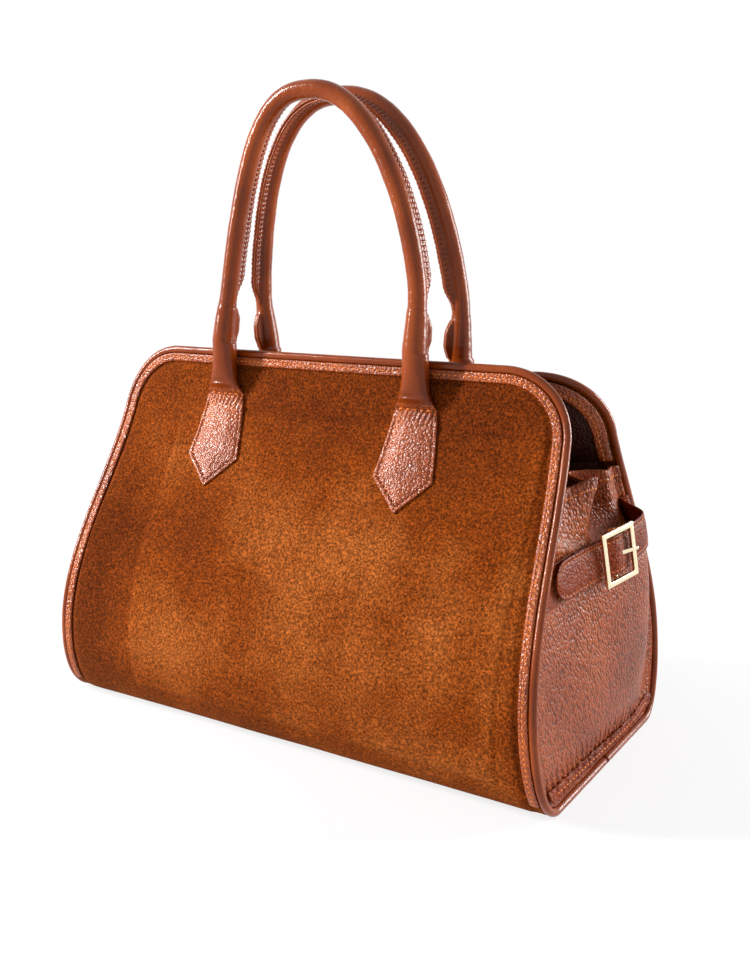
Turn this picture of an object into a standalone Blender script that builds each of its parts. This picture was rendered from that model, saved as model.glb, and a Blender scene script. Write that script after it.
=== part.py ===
"""Suede handbag with two rolled handles and a buckled strap on each gusset.

Metres, +Z up. +X is the right end, -Y the front, and the origin is the middle
of the base on the surface that the bag stands on.
"""
import math

import bmesh
import bpy
from mathutils import Matrix, Vector

# Body outline
PANEL_HEIGHT = 0.235
BASE_HALF_WIDTH = 0.1775
SIDE_TAPER = 0.0155
CORNER_RADIUS = 0.042
BASE_HALF_DEPTH = 0.070
BELLY_HALF_DEPTH = 0.0962
BELLY_HEIGHT = 0.052
MOUTH_HALF_DEPTH = 0.0306

# The empty bag slumps: the back panel leans in, except at its right end
BACK_LEAN = 0.035
BACK_DROP = 0.007
LEAN_RISE_POWER = 1.3
FLARE_START_SHARE = 0.55
FLARE_LEAN_SHARE = 0.15

# Sheet thicknesses and the gap between touching pieces
CLEARANCE = 0.0003
LAYER_GAP = 0.0005
SUEDE_THICKNESS = 0.0012
BOARD_THICKNESS = 0.0010
LINING_THICKNESS = 0.0006
FACING_THICKNESS = 0.0008
BINDING_THICKNESS = 0.0009
GUSSET_THICKNESS = 0.0018

# Edges
PIPING_RADIUS = 0.0024
PIPING_SET_BACK = 0.0011
BINDING_WIDTH = 0.0052
INNER_BINDING_WIDTH = 0.0070
BOARD_MARGIN = 0.0140
BASE_BINDING_HEIGHT = 0.0090
BASE_BINDING_START = 0.0011
BASE_BINDING_END_SHARE = 0.1
FACING_MARGIN = 0.0040
PIPING_LIFT_SHARE = 0.6

# Gussets
GUSSET_DROP = 0.0610
GUSSET_INSET = 0.0029
GUSSET_BULGE = 0.0180
BULGE_SKEW_POWER = 1.67
SWELL_HEIGHT = 0.139
GUSSET_CREST = 0.0060
CREST_PLACE_SHARE = 0.36
CREST_SPREAD_SHARE = 0.22
PLEAT_DEPTH = 0.030
LEFT_PLEAT_DEPTH = 0.036
PLEAT_HEIGHT = 0.0280
PLEAT_PLACE_SHARE = 0.68
PLEAT_SPREAD_SHARE = 0.26
LINING_DROP = 0.006
LINING_SLACK = 0.0008

# Handles
TAB_SPACING = 0.144
HANDLE_OFFSET = -0.0030
HINGE_RISE = 0.005
FRONT_HANDLE_HEIGHT = 0.1445
BACK_HANDLE_HEIGHT = 0.1530
COVER_RADIUS = 0.0060
CORE_RADIUS = 0.0038
SEAM_FIN = 0.0040
SLEEVE_RADIUS = 0.0080
SLEEVE_LENGTH = 0.0260
SLEEVE_LIP = 0.0050
SLEEVE_WALL = 0.0010
COVER_START = 0.0085
FIN_RUN = 0.0040
FRONT_HANDLE_LEAN = 0.0010
BACK_HANDLE_LEAN = 0.0120
BACK_HANDLE_SKEW = -0.0025
FRONT_ARCH_POWERS = (0.77, 1.50)
BACK_ARCH_POWERS = (0.80, 1.15)
FRONT_ARCH_SPAN_SHARE = 1.00
BACK_ARCH_SPAN_SHARE = 1.05

# Tabs
TAB_TIP_DEPTH = 0.0830
TAB_CORNER_DEPTH = 0.0655
TAB_NECK_DEPTH = 0.0230
TAB_NECK_HALF_WIDTH = 0.0140
TAB_HALF_WIDTH = 0.02025
TAB_TIP_HALF_WIDTH = 0.0015
TAB_THICKNESS = 0.0020
COLLAR_RADIUS = 0.0072
COLLAR_TILT = math.radians(25)
COLLAR_START_SHARES = (0.3, 0.3, 0.6)
COLLAR_FOOT_SHARES = (0.75, 0.65, 1)
TAB_SQUARENESS_SHARES = (0.35, 0.6, 0.85)

# Straps and buckles
STRAP_DROP = 0.0405
STRAP_RISE_SHARE = 0.15
STRAP_WIDTH = 0.0220
BUCKLE_PLACE_SHARE = 0.43
STRAP_END_MARGIN = 0.0030
CHAPE_THICKNESS = 0.0009
CHAPE_TURN_BACK = 0.0300
TONGUE_THICKNESS = 0.0012
TONGUE_TIP_MARGIN = 0.0050
TONGUE_FALL = 0.0120
HOLE_WIDTH = 0.0036
HOLE_FRONT = 0.0026
HOLE_REAR = 0.0072
FRAME_LENGTH = 0.0280
FRAME_HEIGHT = 0.0310
FRAME_BAR_WIDTH = 0.0030
FRAME_BAR_THICKNESS = 0.0022
FRAME_CORNER_RADIUS = 0.0022
FRAME_TILT_ROOM = 0.0009
CENTRE_BAR_RADIUS = 0.0010
PRONG_WIDTH = 0.0026
PRONG_TIP_WIDTH = 0.0018
PRONG_THICKNESS = 0.0009
PRONG_OVERHANG = 0.0004
PRONG_CURL = math.radians(265)
FRAME_CROWN_SHARE = 0.6
FRAME_SHOULDER_SHARE = 0.5

# Mesh fineness
COLUMN_SHARES = (-1, -0.66, -0.33, 0, 0.33, 0.5, 0.57, 0.64, 0.71, 0.78, 0.85, 0.925, 1)
TOP_SHARES = (1, 0.92, 0.84, 0.76, 0.67, 0.5, 0)
BASE_CURVE_STEPS = 4
WALL_STEPS = 7
CORNER_STEPS = 7
GUSSET_COLUMNS = 16
TURNED_UNDER_ROW = 1
TUBE_SIDES = 8
HANDLE_SIDES = 10
HANDLE_STEPS = 26
SLOPE_STEP_SHARE = 0.01
SMOOTH_ANGLE = math.radians(35)
BALL_RING_SHARES = (0.15, 0.4, 0.65, 0.85)
TONGUE_END_SHARES = (0.02, 0.1, 0.25, 0.5, 0.75, 1)
CHAPE_FOLD_SHARES = (0.3, 0.5, 0.7)

FRONT = -1
BACK = 1
RIGHT = 1
LEFT = -1
UP = Vector((0, 0, 1))

# Sizes that follow from the ones above
SHOULDER_HALF_WIDTH = BASE_HALF_WIDTH - SIDE_TAPER
GUSSET_TOP_HEIGHT = PANEL_HEIGHT - GUSSET_DROP
PLEAT_START_HEIGHT = GUSSET_TOP_HEIGHT - PLEAT_HEIGHT
STRAP_HEIGHT = GUSSET_TOP_HEIGHT - STRAP_DROP
FACING_LOWER_HEIGHT = GUSSET_TOP_HEIGHT + FACING_MARGIN
CORNER_HEIGHT = PANEL_HEIGHT - CORNER_RADIUS
EDGE_INSET = 2*PIPING_RADIUS + CLEARANCE
BOARD_OUT = -(SUEDE_THICKNESS + LAYER_GAP)
LINING_OUT = BOARD_OUT - BOARD_THICKNESS - LAYER_GAP
INNER_BINDING_OUT = LINING_OUT - FACING_THICKNESS - LAYER_GAP
LINING_SHIFT = GUSSET_THICKNESS + CLEARANCE + LINING_SLACK
PIPING_PROUD = PIPING_RADIUS - PIPING_SET_BACK
HINGE_OUT = PIPING_PROUD + CLEARANCE + SLEEVE_RADIUS
BAR_CENTRE_LEVEL = CLEARANCE + CHAPE_THICKNESS + CLEARANCE + CENTRE_BAR_RADIUS
LOOP_RADIUS = CENTRE_BAR_RADIUS + CLEARANCE + CHAPE_THICKNESS/2
OVER_LAYER_LEVEL = 2*CLEARANCE + 1.5*CHAPE_THICKNESS
TONGUE_LOW_LEVEL = 2*CLEARANCE + LAYER_GAP + 2*CHAPE_THICKNESS + TONGUE_THICKNESS/2
TONGUE_HIGH_LEVEL = BAR_CENTRE_LEVEL + LOOP_RADIUS + (CHAPE_THICKNESS + TONGUE_THICKNESS)/2 + CLEARANCE
FRAME_BAR_LEVEL = TONGUE_LOW_LEVEL + (TONGUE_THICKNESS + FRAME_BAR_THICKNESS)/2 + FRAME_TILT_ROOM
BAR_OFFSET = (FRAME_LENGTH - FRAME_BAR_WIDTH)/2


def clear_scene():
    for item in list(bpy.data.objects):
        bpy.data.objects.remove(item, do_unlink=True)


def collection(name):
    group = bpy.data.collections.new(name)
    bpy.context.scene.collection.children.link(group)
    return group


def material(name, colour, roughness, metallic=0.0):
    finish = bpy.data.materials.new(name)
    finish.use_nodes = True
    shader = finish.node_tree.nodes["Principled BSDF"]
    shader.inputs["Base Color"].default_value = (*colour, 1)
    shader.inputs["Roughness"].default_value = roughness
    shader.inputs["Metallic"].default_value = metallic
    finish.diffuse_color = (*colour, 1)
    return finish


def make_object(name, mesh, finish, pivot=None):
    """Link a mesh given in world coordinates, with its origin at pivot."""
    if pivot is not None:
        mesh.transform(Matrix.Translation(-pivot))
    piece = bpy.data.objects.new(name, mesh)
    if pivot is not None:
        piece.location = pivot
    piece.data.materials.append(finish)
    PIECES.objects.link(piece)
    return piece


def loft(name, rings, finish, wrap=False, pivot=None, smooth=True, turn=None):
    """Join rings of points into a closed solid, capped at both ends or wrapped round.

    From the ring numbered turn the rings run back inside the first ones, and their quads
    are split along the same diagonals, so that the wall keeps its thickness.
    """
    mesh_maker = bmesh.new()
    rows = [[mesh_maker.verts.new(point) for point in ring] for ring in rings]
    count = len(rows[0])
    pairs = list(zip(rows, rows[1:]))
    if wrap:
        pairs.append((rows[-1], rows[0]))
    for number, (low, high) in enumerate(pairs):
        if turn is not None and number >= turn:
            low, high = high, low
        for i in range(count):
            j = (i + 1) % count
            mesh_maker.faces.new((low[i], low[j], high[j]))
            mesh_maker.faces.new((low[i], high[j], high[i]))
    if not wrap:
        mesh_maker.faces.new(rows[0])
        mesh_maker.faces.new(rows[-1])
    return close_mesh(name, mesh_maker, finish, pivot, smooth)


def slab(name, outer, inner, finish):
    """Join two matching grids of points into a closed sheet."""
    mesh_maker = bmesh.new()
    faces = [[[mesh_maker.verts.new(p) for p in row] for row in grid] for grid in (outer, inner)]
    last_row = len(outer) - 1
    last_column = len(outer[0]) - 1
    for grid in faces:
        for r in range(last_row):
            for c in range(last_column):
                near, far = grid[r][c], grid[r + 1][c + 1]
                mesh_maker.faces.new((near, grid[r][c + 1], far))
                mesh_maker.faces.new((near, far, grid[r + 1][c]))
    top, under = faces
    rim = [(0, c) for c in range(last_column)]
    rim += [(r, last_column) for r in range(last_row)]
    rim += [(last_row, c) for c in range(last_column, 0, -1)]
    rim += [(r, 0) for r in range(last_row, 0, -1)]
    for (r, c), (s, d) in zip(rim, rim[1:] + rim[:1]):
        mesh_maker.faces.new((top[r][c], top[s][d], under[s][d], under[r][c]))
    return close_mesh(name, mesh_maker, finish, None, True)


def close_mesh(name, mesh_maker, finish, pivot, smooth):
    bmesh.ops.recalc_face_normals(mesh_maker, faces=mesh_maker.faces)
    mesh = bpy.data.meshes.new(name)
    mesh_maker.to_mesh(mesh)
    mesh_maker.free()
    if smooth:
        mesh.shade_smooth()
        mesh.set_sharp_from_angle(angle=SMOOTH_ANGLE)
    return make_object(name, mesh, finish, pivot)


def tube(name, points, radius, finish, pivot=None):
    """A round tube along a list of points, as a bevelled curve made into a mesh."""
    curve = bpy.data.curves.new(name, "CURVE")
    curve.dimensions = "3D"
    curve.bevel_depth = radius
    curve.bevel_resolution = TUBE_SIDES//4
    curve.use_fill_caps = True
    curve.render_resolution_u = 0
    spline = curve.splines.new("POLY")
    spline.points.add(len(points) - 1)
    for knot, point in zip(spline.points, points):
        knot.co = (*point, 1)
    holder = bpy.data.objects.new(name + "_path", curve)
    PIECES.objects.link(holder)
    bpy.context.view_layer.update()
    shape = holder.evaluated_get(bpy.context.evaluated_depsgraph_get())
    mesh = bpy.data.meshes.new_from_object(shape)
    bpy.data.objects.remove(holder, do_unlink=True)
    mesh_maker = bmesh.new()
    mesh_maker.from_mesh(mesh)
    bmesh.ops.remove_doubles(mesh_maker, verts=mesh_maker.verts, dist=CLEARANCE/10)
    return close_mesh(name, mesh_maker, finish, pivot, True)


def cut(piece, cutter):
    cutter.hide_render = True
    cutter.display_type = "WIRE"
    modifier = piece.modifiers.new("cut_" + cutter.name, "BOOLEAN")
    modifier.operation = "DIFFERENCE"
    modifier.solver = "EXACT"
    modifier.object = cutter


def box_cutter(name, frame, low, high):
    """A box between two corners of a buckle's own frame."""
    mesh_maker = bmesh.new()
    bmesh.ops.create_cube(mesh_maker, size=1)
    size = high - low
    bmesh.ops.scale(mesh_maker, vec=size, verts=mesh_maker.verts)
    bmesh.ops.translate(mesh_maker, vec=(low + high)/2, verts=mesh_maker.verts)
    bmesh.ops.transform(mesh_maker, matrix=frame, verts=mesh_maker.verts)
    mesh = bpy.data.meshes.new(name)
    mesh_maker.to_mesh(mesh)
    mesh_maker.free()
    box = bpy.data.objects.new(name, mesh)
    CUTTERS.objects.link(box)
    return box


def ease(share):
    share = min(max(share, 0), 1)
    return share*share*(3 - 2*share)


def blend(a, b, share):
    return a + (b - a)*share


def steps(count):
    return [i/count for i in range(count + 1)]


# The panels: v is 0 at the base, 1 at the belly and 2 at the mouth
def nominal_height(v):
    if v < 1:
        return BELLY_HEIGHT*(1 - math.cos(v*math.pi/2))
    return BELLY_HEIGHT + (PANEL_HEIGHT - BELLY_HEIGHT)*(v - 1)


def v_at(height):
    if height < BELLY_HEIGHT:
        return math.acos(1 - height/BELLY_HEIGHT)*2/math.pi
    return 1 + (height - BELLY_HEIGHT)/(PANEL_HEIGHT - BELLY_HEIGHT)


def slump(x, v):
    """How far the back panel leans in at a place, as a share of the whole lean."""
    beyond = (x/SHOULDER_HALF_WIDTH - FLARE_START_SHARE)/(1 - FLARE_START_SHARE)
    across = 1 - (1 - FLARE_LEAN_SHARE)*min(max(beyond, 0), 1)**2
    return across*max(v - 1, 0)**LEAN_RISE_POWER


def panel_section(side, x, v):
    """Depth and height of a panel's outer face."""
    height = nominal_height(v)
    if v < 1:
        depth = blend(BASE_HALF_DEPTH, BELLY_HALF_DEPTH, math.sin(v*math.pi/2))
    else:
        depth = blend(MOUTH_HALF_DEPTH, BELLY_HALF_DEPTH, (1 + math.cos((v - 1)*math.pi))/2)
    if side == BACK:
        depth -= BACK_LEAN*slump(x, v)
        height -= BACK_DROP*slump(x, v)
    return Vector((depth, height))


def row_point(side, x, v, out):
    slope = panel_section(side, x, v + SLOPE_STEP_SHARE) - panel_section(side, x, v - SLOPE_STEP_SHARE)
    normal = Vector((slope.y, -slope.x)).normalized()
    place = panel_section(side, x, v) + out*normal
    return Vector((x, side*place.x, place.y))


def panel_point(side, x, v, out=0):
    """A point on a panel's outer face, or that far out from it; it is straight between rows."""
    high = next((row for row in ROWS[1:-1] if row > v), ROWS[-1])
    low = ROWS[ROWS.index(high) - 1]
    share = (v - low)/(high - low)
    return row_point(side, x, low, out).lerp(row_point(side, x, high, out), share)


def half_width(v, inset):
    height = nominal_height(v)
    if height <= CORNER_HEIGHT:
        return blend(BASE_HALF_WIDTH, SHOULDER_HALF_WIDTH, height/CORNER_HEIGHT) - inset
    reach = (CORNER_RADIUS - inset)**2 - (height - CORNER_HEIGHT)**2
    return SHOULDER_HALF_WIDTH - CORNER_RADIUS + math.sqrt(max(reach, 0))


def all_rows():
    """The rows that every sheet of the body shares, from the base to the mouth."""
    rows = [i/BASE_CURVE_STEPS for i in range(BASE_CURVE_STEPS)]
    v_lining = v_at(GUSSET_TOP_HEIGHT - LINING_DROP)
    rows += [blend(1, v_lining, share) for share in steps(WALL_STEPS)]
    rows += [v_at(GUSSET_TOP_HEIGHT), v_at(FACING_LOWER_HEIGHT), v_at(CORNER_HEIGHT)]
    for share in steps(CORNER_STEPS)[1:]:
        rows.append(v_at(CORNER_HEIGHT + CORNER_RADIUS*math.sin(share*math.pi/2)))
    return sorted(rows)


def wall_rows(v_low, v_high):
    return [v for v in ROWS if v_low - SLOPE_STEP_SHARE/2 < v < v_high + SLOPE_STEP_SHARE/2]


def panel_rows(v_low, inset):
    """Rows of a panel's sheet from a low row up to its own rounded top."""
    rows = wall_rows(v_low, v_at(CORNER_HEIGHT))
    for share in steps(CORNER_STEPS)[1:]:
        rise = (CORNER_RADIUS - inset)*math.sin(share*math.pi/2)
        rows.append(v_at(CORNER_HEIGHT + rise))
    return rows


def panel_sheet(name, side, inset, out, thickness, v_low, finish):
    """A sheet that follows a panel from its outer face inwards."""
    grids = []
    for level in (out, out - thickness):
        grid = []
        for v in panel_rows(v_low, inset):
            reach = half_width(v, inset)
            grid.append([panel_point(side, reach*share, v, level) for share in COLUMN_SHARES[::-side]])
        grids.append(grid)
    return slab(name, *grids, finish)


def outline_point(station, inset):
    """Where a station of a panel's edge lies at an inset: its x and v."""
    kind, share, hand = station
    if kind == "side":
        return hand*half_width(share, inset), share
    radius = CORNER_RADIUS - inset
    centre = SHOULDER_HALF_WIDTH - CORNER_RADIUS
    if kind == "corner":
        turn = share*math.pi/2
        return hand*(centre + radius*math.cos(turn)), v_at(CORNER_HEIGHT + radius*math.sin(turn))
    return hand*centre*share, v_at(CORNER_HEIGHT + radius)


def outline_stations(v_low):
    """Stations up the right side, over the top and down the left side."""
    side = [("side", v) for v in wall_rows(v_low, v_at(CORNER_HEIGHT))]
    side += [("corner", share) for share in steps(CORNER_STEPS)[1:]]
    side += [("top", share) for share in TOP_SHARES[1:]]
    right = [(kind, share, RIGHT) for kind, share in side]
    left = [(kind, share, LEFT) for kind, share in reversed(side[:-1])]
    return right + left


def edge_strip(name, side, inset, width, out, thickness, v_low, finish):
    """A strip of leather that follows a panel's edge round its corners."""
    grids = []
    for level in (out, out - thickness):
        rows = []
        for depth in (inset, inset + width):
            row = []
            for station in outline_stations(v_low):
                x, v = outline_point(station, depth)
                row.append(panel_point(side, x, v, level))
            rows.append(row)
        grids.append(rows)
    return slab(name, *grids, finish)


def piping_out(v):
    """The piping lies on the floor under the base and set back in the seam above it."""
    return -blend(PIPING_RADIUS, PIPING_SET_BACK, ease(v/PIPING_LIFT_SHARE))


def piping(name, side, finish):
    """Piping round a panel's edge, with its ends meeting the other panel's under the gussets."""
    points = []
    for station in outline_stations(0):
        x, v = outline_point(station, PIPING_RADIUS)
        points.append(panel_point(side, x, v, piping_out(v)))
    foot = BASE_HALF_WIDTH - PIPING_RADIUS
    run = [blend(CLEARANCE/2, BASE_HALF_DEPTH, share) for share in steps(3)[:-1]]
    start = [Vector((foot, side*y, PIPING_RADIUS)) for y in run]
    end = [Vector((-foot, side*y, PIPING_RADIUS)) for y in reversed(run)]
    return tube(name, start + points + end, PIPING_RADIUS, finish)


def flat_sheet(name, reach, half_depth, low, thickness, finish):
    mesh_maker = bmesh.new()
    bmesh.ops.create_cube(mesh_maker, size=1)
    bmesh.ops.scale(mesh_maker, vec=(2*reach, 2*half_depth, thickness), verts=mesh_maker.verts)
    lift = Vector((0, 0, low + thickness/2))
    bmesh.ops.translate(mesh_maker, vec=lift, verts=mesh_maker.verts)
    return close_mesh(name, mesh_maker, finish, None, False)


def make_body(finishes):
    suede, leather = finishes["suede"], finishes["leather"]
    for side, word in ((FRONT, "front"), (BACK, "back")):
        panel_sheet(word + "_suede_panel", side, EDGE_INSET, 0, SUEDE_THICKNESS, 0, suede)
        panel_sheet(word + "_stiffener_board", side, BOARD_MARGIN, BOARD_OUT, BOARD_THICKNESS,
                    ROWS[TURNED_UNDER_ROW], finishes["board"])
        panel_sheet(word + "_inner_facing", side, EDGE_INSET, LINING_OUT, FACING_THICKNESS,
                    v_at(FACING_LOWER_HEIGHT), leather)
        edge_strip(word + "_edge_binding", side, EDGE_INSET, BINDING_WIDTH,
                   LAYER_GAP + BINDING_THICKNESS, BINDING_THICKNESS, ROWS[TURNED_UNDER_ROW], leather)
        edge_strip(word + "_inner_binding", side, EDGE_INSET, INNER_BINDING_WIDTH,
                   INNER_BINDING_OUT, BINDING_THICKNESS, v_at(FACING_LOWER_HEIGHT), leather)
        piping(word + "_piping", side, leather)
    reach = BASE_HALF_WIDTH - EDGE_INSET
    flat_sheet("base_suede_panel", reach, BASE_HALF_DEPTH - CLEARANCE, 0, SUEDE_THICKNESS, suede)
    board_low = SUEDE_THICKNESS + CLEARANCE
    flat_sheet("base_board", BASE_HALF_WIDTH - BOARD_MARGIN, BASE_HALF_DEPTH, board_low,
               BOARD_THICKNESS, finishes["board"])


# The gussets: q is 0 at the front seam and 1 at the back seam
def gusset_belly(q, v):
    """How far a gusset swells out from the straight line between its seams, most near its back."""
    swell = math.sin(math.pi*min(nominal_height(v)/SWELL_HEIGHT, 1)/2)
    return GUSSET_BULGE*math.sin(math.pi*max(q, 0)**BULGE_SKEW_POWER)*swell


def gusset_fold(hand, q, v):
    """How far the folds at a gusset's top stand out from its belly, or in from it."""
    height = nominal_height(v)
    fold = ease((height - PLEAT_START_HEIGHT)/(GUSSET_TOP_HEIGHT - PLEAT_START_HEIGHT))
    crest = GUSSET_CREST*ease(1 - abs(q - CREST_PLACE_SHARE)/CREST_SPREAD_SHARE)
    depth = PLEAT_DEPTH if hand == RIGHT else LEFT_PLEAT_DEPTH
    pleat = depth*ease(1 - abs(q - PLEAT_PLACE_SHARE)/PLEAT_SPREAD_SHARE)
    return fold*(crest - pleat)


def gusset_seam(v):
    """How far in from the panels' faces a gusset's edges lie, behind the piping."""
    return piping_out(v) - PIPING_RADIUS - CLEARANCE


def gusset_point(hand, q, v, shift=0, seam=None):
    """A point on a gusset's outer face, or that far in from it along X."""
    if seam is None:
        seam = gusset_seam(v)
    x = hand*half_width(v, GUSSET_INSET)
    place = panel_point(FRONT, x, v, seam).lerp(panel_point(BACK, x, v, seam), q)
    place.x += hand*(gusset_belly(q, v) + gusset_fold(hand, q, v) - shift)
    return place


def make_gusset(name, hand, finish):
    grids = []
    for shift in (0, GUSSET_THICKNESS):
        grid = []
        for v in wall_rows(0, v_at(GUSSET_TOP_HEIGHT)):
            grid.append([gusset_point(hand, q, v, shift) for q in steps(GUSSET_COLUMNS)[::hand]])
        grids.append(grid)
    return slab(name, *grids, finish)


def make_base_binding(name, hand, finish):
    """The stitched strip along a gusset's foot, above the piping."""
    low = EDGE_INSET + BASE_BINDING_START
    high = EDGE_INSET + BASE_BINDING_HEIGHT
    first = BASE_BINDING_END_SHARE
    across = [blend(first, 1 - first, share) for share in steps(GUSSET_COLUMNS)]
    grids = []
    for shift in (-CLEARANCE - BINDING_THICKNESS, -CLEARANCE):
        rows = [v_at(blend(low, high, share)) for share in steps(2)]
        grids.append([[gusset_point(hand, q, v, shift) for q in across] for v in rows])
    return slab(name, *grids, finish)


def lining_ring(v, thickness):
    """One level of the lining, round the inside of the panels and the gussets."""
    out = LINING_OUT - thickness
    shift = LINING_SHIFT + thickness
    reach = half_width(v, GUSSET_INSET) - shift
    across = [reach*share for share in COLUMN_SHARES]
    between = steps(GUSSET_COLUMNS)[1:-1]
    seam = blend(out, gusset_seam(v), ease(v))
    ring = [panel_point(FRONT, x, v, out) for x in across]
    ring += [gusset_point(RIGHT, q, v, shift, seam) for q in between]
    ring += [panel_point(BACK, x, v, out) for x in reversed(across)]
    ring += [gusset_point(LEFT, q, v, shift, seam) for q in reversed(between)]
    return ring


def make_lining(finish):
    levels = wall_rows(0, v_at(GUSSET_TOP_HEIGHT - LINING_DROP))
    outer = [lining_ring(v, 0) for v in levels]
    inner = [lining_ring(v, LINING_THICKNESS) for v in levels]
    return loft("lining", outer + inner[::-1], finish, turn=len(outer))


# The handles and their tabs
def hinge_point(side, hand=0):
    place = panel_point(side, 0, 2, HINGE_OUT)
    return Vector((HANDLE_OFFSET + hand*TAB_SPACING/2, place.y, place.z + HINGE_RISE))


def handle_height(side):
    return FRONT_HANDLE_HEIGHT if side == FRONT else BACK_HANDLE_HEIGHT


def arch_point(side, turn):
    """The middle of a handle: turn is 0 at the right hinge, a half turn at the left one."""
    powers = FRONT_ARCH_POWERS if side == FRONT else BACK_ARCH_POWERS
    lean = FRONT_HANDLE_LEAN if side == FRONT else BACK_HANDLE_LEAN
    skew = 0 if side == FRONT else BACK_HANDLE_SKEW
    span = FRONT_ARCH_SPAN_SHARE if side == FRONT else BACK_ARCH_SPAN_SHARE
    across = math.copysign(abs(math.cos(turn))**powers[0], math.cos(turn))
    rise = abs(math.sin(turn))**powers[1]
    x = TAB_SPACING/2*blend(1, span, ease(4*rise))*across + skew*rise
    return hinge_point(side) + Vector((x, -side*lean*rise, handle_height(side)*rise))


def turn_at(side, rise):
    powers = FRONT_ARCH_POWERS if side == FRONT else BACK_ARCH_POWERS
    return math.asin((rise/handle_height(side))**(1/powers[1]))


def ring_about(side, place, along, radius, fin=0):
    """A ring round a handle, with its seam fin on the side that faces the other handle."""
    inward = Vector((0, -side, 0))
    inward = (inward - along*inward.dot(along)).normalized()
    across = along.cross(inward)
    ring = []
    for i, angle in enumerate(ring_angles()):
        reach = radius + (fin if i == 0 else 0)
        ring.append(place + reach*(math.cos(angle)*inward + math.sin(angle)*across))
    return ring


def arch_ring(side, turn, radius, fin=0):
    step = SLOPE_STEP_SHARE
    along = (arch_point(side, turn + step) - arch_point(side, turn - step)).normalized()
    return ring_about(side, arch_point(side, turn), along, radius, fin)


def sleeve_heights():
    """Heights above the hinge where the cover and the sleeve's socket have rings."""
    middle = blend(COVER_START, SLEEVE_LENGTH, 0.5)
    return [COVER_START, middle, SLEEVE_LENGTH, SLEEVE_LENGTH + SLEEVE_LIP]


def make_handle(word, side, finishes):
    pivot = hinge_point(side)
    ends = [turn_at(side, height) for height in sleeve_heights()]
    neck = ends[-1]
    first = turn_at(side, SLEEVE_LENGTH + SLEEVE_LIP + FIN_RUN)
    arch = [blend(first, math.pi - first, share) for share in steps(HANDLE_STEPS)]
    turns = ends + arch + [math.pi - turn for turn in reversed(ends)]
    outer = []
    for turn in turns:
        near_end = min(turn, math.pi - turn)
        outer.append(arch_ring(side, turn, COVER_RADIUS, SEAM_FIN if near_end > neck else 0))
    bore = [arch_ring(side, turn, CORE_RADIUS + CLEARANCE) for turn in turns]
    loft(word + "_handle_cover", outer + bore[::-1], finishes["leather"], wrap=True, pivot=pivot)
    core = [arch_ring(side, turn, CORE_RADIUS) for turn in turns]
    loft(word + "_handle_core", core, finishes["cord"], pivot=pivot)
    for hand, hand_word in ((RIGHT, "right"), (LEFT, "left")):
        make_sleeve(word + "_" + hand_word + "_handle_sleeve", side, hand, finishes["leather"])


def make_sleeve(name, side, hand, finish):
    """The thick end of a handle: a ball on the hinge line below, a socket for the cover above."""
    pivot = hinge_point(side)
    centre = hinge_point(side, hand)
    rings = []
    for share in BALL_RING_SHARES:
        angle = share*math.pi/2
        radius = SLEEVE_RADIUS*math.sin(angle)
        place = centre - UP*SLEEVE_RADIUS*math.cos(angle)
        rings.append(ring_about(side, place, hand*UP, radius))
    heights = [(height, SLEEVE_RADIUS) for height in (CLEARANCE, *sleeve_heights()[:-1])]
    lip_radius = COVER_RADIUS + CLEARANCE + SLEEVE_WALL
    heights.append((SLEEVE_LENGTH + SLEEVE_LIP, lip_radius))
    rings += [sleeve_ring(side, hand, height, radius) for height, radius in heights]
    socket = COVER_RADIUS + CLEARANCE
    rings += [sleeve_ring(side, hand, height, socket) for height in reversed(sleeve_heights()[1:])]
    rings.append(sleeve_ring(side, hand, COVER_START - CLEARANCE, socket))
    return loft(name, rings, finish, pivot=pivot)


def ring_angles():
    return [2*math.pi*i/HANDLE_SIDES for i in range(HANDLE_SIDES)]


def sleeve_ring(side, hand, height, radius):
    turn = turn_at(side, height)
    return arch_ring(side, turn if hand == RIGHT else math.pi - turn, radius)


def tab_ring(side, hand, depth, half, thick, level, squareness):
    """A flat or round section of a tab, on the panel's face at a depth below the mouth."""
    v = v_at(PANEL_HEIGHT - depth)
    x = hinge_point(side, hand).x
    ring = []
    for angle in ring_angles():
        c, s = math.cos(angle), math.sin(angle)
        across = half*math.copysign(abs(c)**squareness, c)
        out = level + thick/2*(1 + math.copysign(abs(s)**squareness, s))
        ring.append(panel_point(side, x + across, v, out))
    return ring


def tab_sections():
    """A tab's depth, half width, thickness, level and squareness, from its tip to its collar's foot."""
    over = LAYER_GAP + BINDING_THICKNESS + CLEARANCE
    strip_foot = EDGE_INSET + BINDING_WIDTH + CLEARANCE
    flat, rounding, nearly_round = TAB_SQUARENESS_SHARES
    middle_depth = blend(TAB_CORNER_DEPTH, TAB_NECK_DEPTH, 0.5)
    middle_half = blend(TAB_HALF_WIDTH, TAB_NECK_HALF_WIDTH, 0.5)
    sections = []
    for depth, half in ((TAB_TIP_DEPTH, TAB_TIP_HALF_WIDTH), (TAB_CORNER_DEPTH, TAB_HALF_WIDTH),
                        (middle_depth, middle_half), (TAB_NECK_DEPTH, TAB_NECK_HALF_WIDTH)):
        sections.append((depth, half, TAB_THICKNESS, CLEARANCE, flat))
    start_depth = blend(TAB_NECK_DEPTH, strip_foot, 0.5)
    for depth, shares, squareness in ((start_depth, COLLAR_START_SHARES, rounding),
                                      (strip_foot, COLLAR_FOOT_SHARES, nearly_round)):
        half = blend(TAB_NECK_HALF_WIDTH, COLLAR_RADIUS, shares[0])
        thickness = blend(TAB_THICKNESS, 2*COLLAR_RADIUS, shares[1])
        level = blend(CLEARANCE, over + CLEARANCE, shares[2])
        sections.append((depth, half, thickness, level, squareness))
    return sections


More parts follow.
